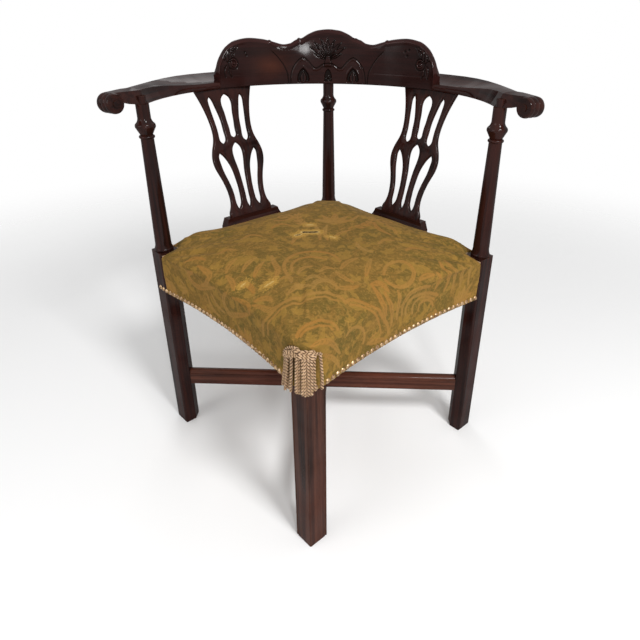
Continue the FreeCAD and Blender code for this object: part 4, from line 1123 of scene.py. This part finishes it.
# Lines and shapes of the carving's right half, and the recess on its middle, in millimetres: along the
# curve and over the floor
PANEL_EDGE = [
    (88.0, 704.0), (89.5, 723.0), (91.5, 730.0), (98.5, 744.0), (111.0, 760.0), (124.0, 772.0),
]
ARCH_LINE = [
    (0.0, 745.5), (9.0, 744.5), (15.0, 742.0), (20.5, 737.5), (26.0, 735.0), (30.5, 736.0),
    (35.5, 741.0), (42.5, 749.0), (50.0, 755.0), (57.0, 757.5), (65.0, 752.5), (72.5, 744.5),
    (78.0, 736.0), (81.5, 727.0), (83.5, 715.0), (84.5, 700.0),
]
RECESS = [(55.5, 737.0), (62.5, 731.0), (67.0, 723.5), (69.0, 714.0), (68.0, 707.0), (42.5, 707.0),
          (41.0, 714.0), (43.5, 723.5), (48.5, 731.0)]
SMALL_RECESS = [(0.0, 735.0), (5.5, 730.0), (8.5, 722.0), (9.5, 707.0),
                (-9.5, 707.0), (-8.5, 722.0), (-5.5, 730.0)]
CREST_LEAVES = [
    # root, heading in degrees, length, width, bend: the right half, in millimetres
    ((6.5, 754.0), 36.0, 25.0, 3.4, -0.20), ((6.0, 756.0), 50.0, 37.0, 4.4, -0.30),
    ((4.5, 758.0), 64.0, 37.0, 3.8, -0.26), ((2.2, 760.0), 78.0, 35.0, 3.2, -0.16),
]
END_LEAVES = [
    ((219.0, 754.0), 98.0, 37.0, 4.6, 0.26), ((224.0, 752.0), 80.0, 25.0, 3.8, 0.34),
    ((214.0, 764.0), 122.0, 17.0, 3.0, 0.20), ((211.0, 775.0), 140.0, 15.0, 2.8, 0.24),
    ((227.0, 747.0), -66.0, 24.0, 3.2, -0.20), ((221.0, 741.0), -88.0, 18.0, 2.8, -0.24),
    ((230.0, 757.0), 55.0, 12.0, 2.6, 0.30),
]
# Berries in the small recess, with their size, and dots drilled inside the end leaves
BERRIES = ((0.0, 717.0, 3.4), (-5.0, 712.0, 2.6), (5.0, 712.0, 2.6), (0.0, 709.0, 2.4))
DOTS = ((-179.0, 764.0), (-182.0, 770.0), (-197.0, 788.0),
        (177.0, 765.0), (172.0, 773.0), (181.0, 776.0))
PANEL_MIDDLE = 750.0
PANEL_HALF_HEIGHT = 64.0
PANEL_RAMP = 62.0
PANEL_RISE = 5.2
VOLUTE_EYE = (211.0, 749.0)
# Small leaf tips that break the outline: angle in degrees and height in metres
LEAF_TIPS = ((-23.6, 0.0020), (-11.9, 0.0026), (11.3, 0.0012), (24.0, 0.0020))


def line_distance(x, y, points, closed=False):
    """Distance to straight runs through the points, negative inside a closed shape."""
    points = np.asarray(points, float)
    if closed:
        points = np.concatenate([points, points[:1]])
    best = np.full(x.shape, 1e3)
    inside = np.zeros(x.shape, bool)
    for a, b in zip(points[:-1], points[1:]):
        way = b - a
        t = np.clip(((x - a[0]) * way[0] + (y - a[1]) * way[1]) / way.dot(way), 0, 1)
        best = np.minimum(best, np.hypot(x - a[0] - way[0] * t, y - a[1] - way[1] * t))
        crosses = (a[1] > y) != (b[1] > y)
        if a[1] != b[1]:
            inside ^= crosses & (x < a[0] + way[0] * (y - a[1]) / way[1])
    return np.where(inside, -best, best) if closed else best


def carve_leaves(a, z, leaves, softness, height, margin):
    """Height of raised leaves, and the distance to a line round them."""
    blades = [leaf(a, z, root, math.radians(heading), length, width, bend)
              for root, heading, length, width, bend in leaves]
    relief = sum(raised(blade, softness, height) for blade in blades)
    return relief, np.minimum.reduce([np.abs(blade - margin) for blade in blades])


def crest_relief(s, z):
    """Carving on the crest's front and the painted shade in its hollows: s along the curve, z over the
    floor.
    """
    a = np.abs(s)
    edge_s, edge_z = zip(*PANEL_EDGE)
    inside = np.interp(z, edge_z, edge_s) - a
    across = np.clip(inside / PANEL_RAMP, 0, 1)
    upright = np.clip(1 - ((z - PANEL_MIDDLE) / PANEL_HALF_HEIGHT) ** 2, 0, 1)
    relief = PANEL_RISE * (1 - (1 - across) ** 2) * upright
    cut = groove(inside, 1.0, 1.2) * eased(776.0 - z, 0, 12)
    # The pointed arches, whose line sinks between them and climbs to the stem
    arch_s, arch_z = zip(*ARCH_LINE)
    reach = line_distance(a, z, ARCH_LINE)
    below = (z < np.interp(a, arch_s, arch_z)) & (a < ARCH_LINE[-1][0])
    within = np.where(below, reach, -reach)
    relief += -1.3 * eased(within, -0.4, 1.4) + 1.2 * np.exp(-((within - 3.6) / 1.7) ** 2)
    cut += groove(reach, 0.85, 1.5)
    # Dark recesses with a leaf in each
    hole = line_distance(a, z, RECESS, closed=True)
    relief += -3.4 * eased(-hole, -0.3, 2.6) + 0.8 * np.exp(-((hole - 1.8) / 1.3) ** 2)
    tongue = leaf(a, z, (55.0, 704.0), math.pi / 2, 25.0, 7.0)
    relief += raised(tongue, 2.0, 2.6)
    vein = leaf(a, z, (55.0, 704.0), math.pi / 2, 23.0, 0.5)
    cut += groove(np.maximum(vein, 0), 0.7, 0.9)
    small = line_distance(s, z, SMALL_RECESS, closed=True)
    relief += -2.8 * eased(-small, -0.3, 2.4)
    for x, y, size in BERRIES:
        relief += raised(np.hypot(s - x, z - y) - size, 1.0, 1.6)
    # The stem and the leaves that fan out over it
    stem = a - np.interp(z, [735.0, 744.0, 752.0, 760.0, 768.0], [9.0, 8.0, 5.4, 4.6, 5.5])
    growing = eased(z, 736.0, 741.0) * eased(772.0 - z, 0.0, 8.0)
    relief += raised(stem, 1.3, 1.8) * growing
    cut += groove(stem - 0.8, 0.8, 1.1) * growing
    leaves, gaps = carve_leaves(a, z, CREST_LEAVES, 1.1, 2.4, 0.5)
    for root, heading, length, _, bend in CREST_LEAVES:
        vein = leaf(a, z, root, math.radians(heading), length * 0.85, 0.3, bend)
        cut += groove(np.maximum(vein, 0), 0.55, 0.7)
    middle = leaf(s, z, (0.0, 762.0), math.pi / 2, 33.0, 3.0)
    relief += leaves + raised(middle, 1.0, 2.2)
    cut += groove(np.minimum(gaps, np.abs(middle - 0.5)), 0.8, 1.3)
    # A volute and leaves at both ends
    curl = volute(a, z, VOLUTE_EYE, 10.5, 1.6, 0.4, 1, 3.8)
    relief += raised(curl, 1.0, 2.4)
    rim = np.abs(np.hypot(a - VOLUTE_EYE[0], z - VOLUTE_EYE[1]) - 11.2)
    cut += groove(rim, 0.9, 1.3) + groove(np.abs(curl - 0.6), 0.7, 0.9)
    leaves, gaps = carve_leaves(a, z, END_LEAVES, 1.0, 2.2, 0.4)
    relief += leaves
    cut += groove(gaps, 0.7, 1.0)
    for x, y in DOTS:
        cut += groove(np.hypot(s - x, z - y), 1.9, 1.5)
    # The line along which the crest sits on the arms
    cut += groove(z - 726.5, 0.7, 0.22) * eased(a, 94.0, 104.0) * eased(236.0 - a, 0.0, 8.0)
    # Painted shade: the grooves darken with their depth, the recesses darken except on their tongue,
    # and the small recess darkens too
    darkening = np.clip(-cut / 1.4, 0, 1) + 0.75 * eased(-hole, 0.0, 2.5) * eased(tongue, -1.5, 0.5)
    darkening += 0.7 * eased(-small, 0.0, 2.4)
    return relief + cut, np.clip(darkening, 0, 1)


def crest_point_rows(angle, top):
    """The crest's profile at one angle, up the front, down the back: radius, height, carving share."""
    share = (top - CREST_FOOT_TOP) / (ARM_UNDERSIDE + CREST_OUTLINE[0][1] - CREST_FOOT_TOP)
    front_top = CREST_RADIUS + CREST_LEAN * share
    shoulder = top - min(CREST_ROUND, (top - CREST_FOOT_TOP) * 0.6)
    past = max(abs(angle) - CREST_FOOT_TAPER, 0.0) / (CREST_OUTLINE[-1][0] - CREST_FOOT_TAPER)
    foot = CREST_FOOT + (CREST_END_FOOT - CREST_FOOT) * past
    back_top = min(front_top + CREST_TOP_THICKNESS, foot - 0.002)
    rows = []
    for t in np.linspace(0, 1, CREST_FRONT_ROWS):
        radius = CREST_RADIUS + (front_top - CREST_RADIUS) * t
        rows.append((radius, CREST_BOTTOM + (shoulder - CREST_BOTTOM) * t, min(1.0, (1 - t) / 0.06)))
    for t in np.linspace(0, math.pi, CREST_TOP_ROWS)[1:]:
        radius = (front_top + back_top) / 2 - math.cos(t) * (back_top - front_top) / 2
        rows.append((radius, shoulder + (top - shoulder) * math.sin(t), 0.0))
    for t in np.linspace(0, 1, CREST_BACK_ROWS)[1:]:
        bow = 0.0035 * math.sin(math.pi * t)
        height = shoulder + (CREST_FOOT_TOP - shoulder) * t
        rows.append((back_top + (foot - back_top) * t + bow, height, 0.0))
    rows.append((foot, CREST_BOTTOM, 0.0))
    return rows


def make_crest():
    last = CREST_OUTLINE[-1][0]
    angles = np.linspace(-last, last, CREST_COLUMNS)
    outline_angles, rises = zip(*CREST_OUTLINE)
    tops = ARM_UNDERSIDE + smooth_through(outline_angles, rises, np.abs(angles))
    for tip_angle, tip_height in LEAF_TIPS:
        tops += tip_height * np.exp(-((angles - tip_angle) / 0.55) ** 2)
    table = np.array([crest_point_rows(angle, top) for angle, top in zip(angles, tops)])
    radius, z, front = table[:, :, 0], table[:, :, 1], table[:, :, 2]
    turn = np.radians(angles)[:, None] * np.ones(z.shape[1])
    along = turn * CREST_ARC
    relief, darkening = crest_relief(along, z * 1000)
    radius = radius - relief / 1000 * front
    points = np.stack([radius * np.sin(turn), radius * np.cos(turn), z], axis=2)
    rows = points.shape[1]
    faces = ring_faces(len(angles), rows)
    # The ends have their own points, so that they shade flat
    base = len(angles) * rows
    faces.append(tuple(range(base, base + rows)))
    faces.append(tuple(range(base + 2 * rows - 1, base + rows - 1, -1)))
    points = np.concatenate([points.reshape(-1, 3), points[0], points[-1]])
    crest = add_mesh("carved_crest", points, faces)
    for face in crest.data.polygons[len(faces) - 2:]:
        face.use_smooth = False
    # Painted shade in the carving's hollows, and polish rubbed through to redder wood on the left panel
    rub = 0.8 * np.exp(-((along + 124.0) / 34.0) ** 2 - ((z * 1000 - 746.0) / 22.0) ** 2)
    paint(crest.data, {
        name: np.concatenate([(values * (front > 0)).ravel(), np.zeros(2 * rows)])
        for name, values in (("darkening", darkening), ("rub", rub))})
    crest.data.materials.append(mahogany_carved)
    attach(crest, "root")
    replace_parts(crest, "crest_rail")


# Splats

def curve_through(points, per_span=10):
    """Smooth line through the points, as a natural cubic along its length."""
    points = np.asarray(points, float)
    t = np.concatenate([[0], np.cumsum(np.hypot(*np.diff(points, axis=0).T))])
    n = len(t)
    h = np.diff(t)
    system = np.zeros((n, n))
    system[0, 0] = system[-1, -1] = 1
    right = np.zeros((n, 2))
    for i in range(1, n - 1):
        system[i, i - 1:i + 2] = h[i - 1], 2 * (h[i - 1] + h[i]), h[i]
        right[i] = 6 * ((points[i + 1] - points[i]) / h[i] - (points[i] - points[i - 1]) / h[i - 1])
    bend = np.linalg.solve(system, right)
    result = []
    for i in range(n - 1):
        for k in range(per_span):
            a = h[i] * k / per_span
            b = h[i] - a
            near = (points[i] / h[i] - bend[i] * h[i] / 6) * b
            far = (points[i + 1] / h[i] - bend[i + 1] * h[i] / 6) * a
            result.append((bend[i] * b ** 3 + bend[i + 1] * a ** 3) / (6 * h[i]) + near + far)
    result.append(points[-1])
    return np.array(result)


# The splat's right half, across in millimetres and up in shares of its length: the outline, both sides
# of the openings beside the middle, and the right side of those on it
SPLAT_LOWER = [(54, 0), (54.5, 0.030), (50, 0.067), (45.5, 0.135), (46.9, 0.217), (55, 0.329),
               (62.1, 0.404), (63.5, 0.487), (58.4, 0.554)]
SPLAT_UPPER = [(58.4, 0.554), (50.4, 0.633), (49.2, 0.674), (50.4, 0.749), (54.2, 0.824),
               (59.8, 0.899), (70, 1.0)]
SIDE_OPENINGS = [
    [(28, 0.052), (32, 0.094), (32.7, 0.150), (34.5, 0.225), (39.2, 0.300),
     (44.7, 0.374), (47.6, 0.449), (47.5, 0.490), (44, 0.515)],
    [(28, 0.052), (20.5, 0.094), (18.4, 0.150), (18.2, 0.225), (20, 0.300),
     (23.1, 0.374), (30.7, 0.449), (37.6, 0.490), (44, 0.515)],
    [(29.5, 0.582), (34.5, 0.599), (36.4, 0.655), (38, 0.749), (40.4, 0.824),
     (42.3, 0.891), (41.5, 0.929), (37.5, 0.947)],
    [(29.5, 0.582), (23.5, 0.599), (21.8, 0.666), (22.8, 0.749), (26.4, 0.824),
     (31, 0.891), (34, 0.925), (37.5, 0.947)],
]
MIDDLE_OPENINGS = [
    [(0, 0.049), (4.3, 0.094), (4.7, 0.150), (5.2, 0.225), (6.2, 0.300), (8.1, 0.374),
     (11.3, 0.445), (12.3, 0.487), (10.8, 0.532), (5.6, 0.562), (0, 0.579)],
    [(0, 0.621), (5.5, 0.632), (7, 0.674), (8.7, 0.749), (10.3, 0.824), (12.4, 0.895),
     (9, 0.932), (0, 0.957)],
]


def splat_loops():
    """Outline and openings of the splat in millimetres, seen from the front with z up its length."""
    long = SPLAT_LENGTH * 1000
    housed = SPLAT_HOUSED * 1000

    def drawn(points):
        return curve_through([(x, share * long) for x, share in points])

    right = np.concatenate([[(54, -housed)], drawn(SPLAT_LOWER)[:-1], drawn(SPLAT_UPPER),
                            [(71.5, long + housed)]])
    outline = np.concatenate([right, right[::-1] * (-1, 1)])
    holes = []
    for outer, inner in zip(SIDE_OPENINGS[::2], SIDE_OPENINGS[1::2]):
        hole = np.concatenate([drawn(outer), drawn(inner)[-2:0:-1]])
        holes += [hole, hole[::-1] * (-1, 1)]
    for side in MIDDLE_OPENINGS:
        half_loop = drawn(side)
        holes.append(np.concatenate([half_loop, half_loop[-2:0:-1] * (-1, 1)]))
    return outline, holes


def make_splat(name, turn):
    outline, holes = splat_loops()
    curve = bpy.data.curves.new(name, "CURVE")
    curve.dimensions = "2D"
    curve.fill_mode = "BOTH"
    curve.extrude = SPLAT_THICKNESS / 2 - SPLAT_ROUND
    curve.bevel_depth = SPLAT_ROUND
    curve.bevel_resolution = 4
    curve.offset = -SPLAT_ROUND
    for points in [outline] + holes:
        spline = curve.splines.new("POLY")
        spline.points.add(len(points) - 1)
        spline.points.foreach_set("co", np.concatenate(
            [points / 1000, np.zeros((len(points), 1)), np.ones((len(points), 1))], axis=1).ravel())
        spline.use_cyclic_u = True
    board = placed(name, curve)
    mesh = evaluated_mesh(board)
    bpy.data.objects.remove(board)
    points = coordinates(mesh)
    u, up, through = points[:, 0], points[:, 1], points[:, 2] + SPLAT_THICKNESS / 2
    y = SPLAT_FRONT + up * math.sin(SPLAT_LEAN) + through * math.cos(SPLAT_LEAN)
    z = SPLAT_BASE + up * math.cos(SPLAT_LEAN) - through * math.sin(SPLAT_LEAN)
    a = math.radians(turn)
    across = u * math.cos(a) - y * math.sin(a)
    back = u * math.sin(a) + y * math.cos(a)
    set_coordinates(mesh, np.stack([across, back, z], axis=1))
    shell = bmesh.new()
    shell.from_mesh(mesh)
    bmesh.ops.remove_doubles(shell, verts=shell.verts, dist=0.00002)
    bmesh.ops.recalc_face_normals(shell, faces=shell.faces)
    shell.to_mesh(mesh)
    shell.free()
    mesh.shade_smooth()
    splat = placed(name, mesh)
    mesh.materials.clear()
    mesh.materials.append(mahogany_up)
    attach(splat, "root")
    return splat


# Tassel

def corner_front(x, stand_off):
    """Depth of a line that passes the covered front corner at a distance from its faces."""
    reach = SEAT_HALF * math.sqrt(2)
    sharp = reach + stand_off * math.sqrt(2) - abs(x)
    blunt = reach - PLAIN_CORNER * (math.sqrt(2) - 1) + stand_off
    return -min(sharp, blunt)


def twisted_cord(path, radius, hand=1):
    """Cord of two plies laid round each other along a path, with rounded ends."""
    path = np.asarray(path, float)
    length = np.concatenate([[0], np.cumsum(np.linalg.norm(np.diff(path, axis=0), axis=1))])
    count = max(int(length[-1] / CORD_STEP), 8)
    at = np.linspace(0, length[-1], count + 1)
    middle = np.stack([np.interp(at, length, path[:, k]) for k in range(3)], axis=1)
    tangent = np.gradient(middle, axis=0)
    tangent /= np.linalg.norm(tangent, axis=1, keepdims=True)
    vertices = []
    depths = []
    normal = np.cross(tangent[0], (0.0, 1.0, 0.12))
    for i in range(count + 1):
        normal = normal - tangent[i] * normal.dot(tangent[i])
        normal /= np.linalg.norm(normal)
        side = np.cross(tangent[i], normal)
        near_end = min(at[i], length[-1] - at[i]) / radius
        cap = math.sqrt(max(0.0, 1 - (1 - min(near_end, 1.0)) ** 2)) * 0.97 + 0.03
        for k in range(CORD_SIDES):
            a = 2 * math.pi * k / CORD_SIDES
            lobe = abs(math.cos(a - hand * 2 * math.pi * at[i] / CORD_PITCH)) ** 0.8
            r = radius * (0.58 + 0.42 * lobe) * cap
            vertices.append(middle[i] + normal * (r * math.cos(a)) + side * (r * math.sin(a)))
            depths.append(lobe)
    return vertices, tube_faces(count + 1, CORD_SIDES), depths


def joined_cords(name, cords):
    vertices, faces, depths = [], [], []
    for cord_vertices, cord_faces, cord_depths in cords:
        base = len(vertices)
        vertices += cord_vertices
        faces += [tuple(base + i for i in face) for face in cord_faces]
        depths += cord_depths
    piece = add_mesh(name, vertices, faces)
    paint(piece.data, {"depth": depths})
    piece.data.materials.append(bullion)
    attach(piece, "root")
    return piece


def side_fall(x):
    """How much lower the trimming sits towards the sides of the corner."""
    return TASSEL_SIDE_FALL * max(0.0, abs(x) - TASSEL_LEVEL_HALF)


def head_cord(start, end, stand_off, steps, rise, hand=1):
    """Cord laid over the tassel's head, which leans back over the cushion; rise is its height."""
    path = []
    for t in np.linspace(0, 1, steps):
        x = start + (end - start) * t
        z = STRAND_TOP + rise(t) - side_fall(x)
        path.append((x, corner_front(x, stand_off) + TASSEL_LEAN * max(0.0, z - RAIL_TOP), z))
    return twisted_cord(path, HEAD_CORD_RADIUS, hand)


def make_tassel():
    strands = []
    for index, (top, end, layer, longer) in enumerate(TASSEL_CORDS):
        low = STRAND_BOTTOM - longer / 1000
        high = STRAND_TOP + 0.004 - side_fall(top / 1000)
        stand_off = TASSEL_STAND_OFF + CORD_RADIUS + TASSEL_LAYER * layer
        sway = 0.0009 * math.sin(2.3 * index)
        path = []
        for t in np.linspace(0, 1, STRAND_STEPS):
            x = (top + (end - top) * t ** 1.2) / 1000 + sway * math.sin(math.pi * t)
            path.append((x, corner_front(x, stand_off), high + (low - high) * t))
        strands.append(twisted_cord(path, CORD_RADIUS, 1 if -24.5 < top < 3.0 else -1))
    piece = joined_cords("tassel_cords", strands)
    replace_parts(piece, "tassel_strands")
    cords = []
    for index, (start, end, height, stand_off) in enumerate(TASSEL_LOOPS):
        def arch(t):
            wave = 0.0008 * math.sin(9 * t + index)
            return height * math.sin(math.pi * t ** 1.3) ** 0.7 + wave - 0.002

        cords.append(head_cord(start, end, stand_off, LOOP_STEPS, arch, (-1) ** index))
    for start, end, height, stand_off in TASSEL_BANDS:
        def ripple(t):
            return height + 0.0012 * math.sin(7 * t) - 0.001

        cords.append(head_cord(start, end, stand_off, BAND_STEPS, ripple))
    piece = joined_cords("tassel_head", cords)
    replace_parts(piece, "tassel_knot")


# Camera, lights and floor

def make_camera():
    yaw, pitch, roll = CAMERA_YAW, CAMERA_PITCH, CAMERA_ROLL
    level = Vector((math.sin(yaw), math.cos(yaw), 0))
    side = Vector((math.cos(yaw), -math.sin(yaw), 0))
    forward = level * math.cos(pitch) - Vector((0, 0, math.sin(pitch)))
    above = level * math.sin(pitch) + Vector((0, 0, math.cos(pitch)))
    right = side * math.cos(roll) + above * math.sin(roll)
    up = above * math.cos(roll) - side * math.sin(roll)
    lens = bpy.data.cameras.new("photo_camera")
    lens.lens = CAMERA_LENS
    lens.sensor_width = 36.0
    lens.shift_x, lens.shift_y = CAMERA_SHIFT
    lens.clip_start = 0.05
    lens.clip_end = 50.0
    camera = placed("photo_camera", lens)
    turned = Matrix((right, up, -forward)).transposed().to_4x4()
    camera.matrix_world = Matrix.Translation(CAMERA_PLACE) @ turned
    bpy.context.scene.camera = camera


LAMPS = [
    # name, place, aim, width in metres, power in watts
    ("key", (1.2, -1.6, 2.4), (0, 0, 0.45), 0.7, 54),
    ("fill", (-1.8, -1.4, 1.5), (0, 0, 0.45), 1.4, 11),
    ("front", (0.60, -2.17, 1.25), (-0.05, 0.25, 0.75), 0.30, 13),
    ("rim", (-0.6, 2.2, 2.2), (0, 0, 0.6), 1.2, 9),
]
FLOOR_REACH = 6.0
FLOOR_HEIGHT = -0.0005
FLOOR_FADE = (0.9, 2.4)
SURROUND_LIGHT = 0.44


def make_lamps():
    for name, place, aim, width, power in LAMPS:
        lamp = bpy.data.lights.new(name, "AREA")
        lamp.shape = "DISK"
        lamp.size = width
        lamp.energy = power
        light = placed(name, lamp)
        light.location = place
        light.rotation_euler = (Vector(aim) - Vector(place)).to_track_quat("-Z", "Y").to_euler()


def make_floor():
    """Pale floor that fades out with distance."""
    corners = [(x * FLOOR_REACH, y * FLOOR_REACH, FLOOR_HEIGHT)
               for x, y in ((-1, -1), (1, -1), (1, 1), (-1, 1))]
    floor = add_mesh("floor", corners, [(0, 1, 2, 3)], smooth=False)
    made, bench, shader = material("pale_floor")
    bench.feed(shader, {"Base Color": (0.95, 0.95, 0.95), "Roughness": 0.9, "Specular IOR Level": 0.05})
    far = bench.add("VectorMath", {0: bench.place()}, operation="LENGTH").outputs["Value"]
    clear = bench.add("BsdfTransparent").outputs[0]
    share = bench.between(far, *FLOOR_FADE)
    fade = bench.add("MixShader", {0: share, 1: shader.outputs[0], 2: clear})
    end = [node for node in made.node_tree.nodes if node.type == "OUTPUT_MATERIAL"][0]
    bench.feed(end, {"Surface": fade.outputs[0]})
    floor.data.materials.append(made)


def make_world():
    """Pale surround that lights the chair more softly than it shows."""
    world = bpy.data.worlds.new("studio")
    world.use_nodes = True
    world.node_tree.nodes.clear()
    bench = Bench(world.node_tree)
    path = bench.add("LightPath").outputs
    seen = bench.math("MAXIMUM", path["Is Camera Ray"], path["Is Transmission Ray"])
    seen = bench.math("MAXIMUM", seen, path["Is Glossy Ray"])
    strength = bench.add("MapRange", {0: seen, 3: SURROUND_LIGHT, 4: 1.0}).outputs[0]
    back = bench.add("Background", {"Color": (1.0, 1.0, 1.0), "Strength": strength})
    bench.add("OutputWorld", {"Surface": back.outputs[0]})
    bpy.context.scene.world = world
    bpy.context.scene.view_settings.view_transform = "Standard"


make_camera()
make_lamps()
make_floor()
make_world()
dress_frame()
make_cushion()
make_crest()
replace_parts(make_splat("moulded_left_splat", 45.0), "left_splat")
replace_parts(make_splat("moulded_right_splat", -45.0), "right_splat")
make_tassel()
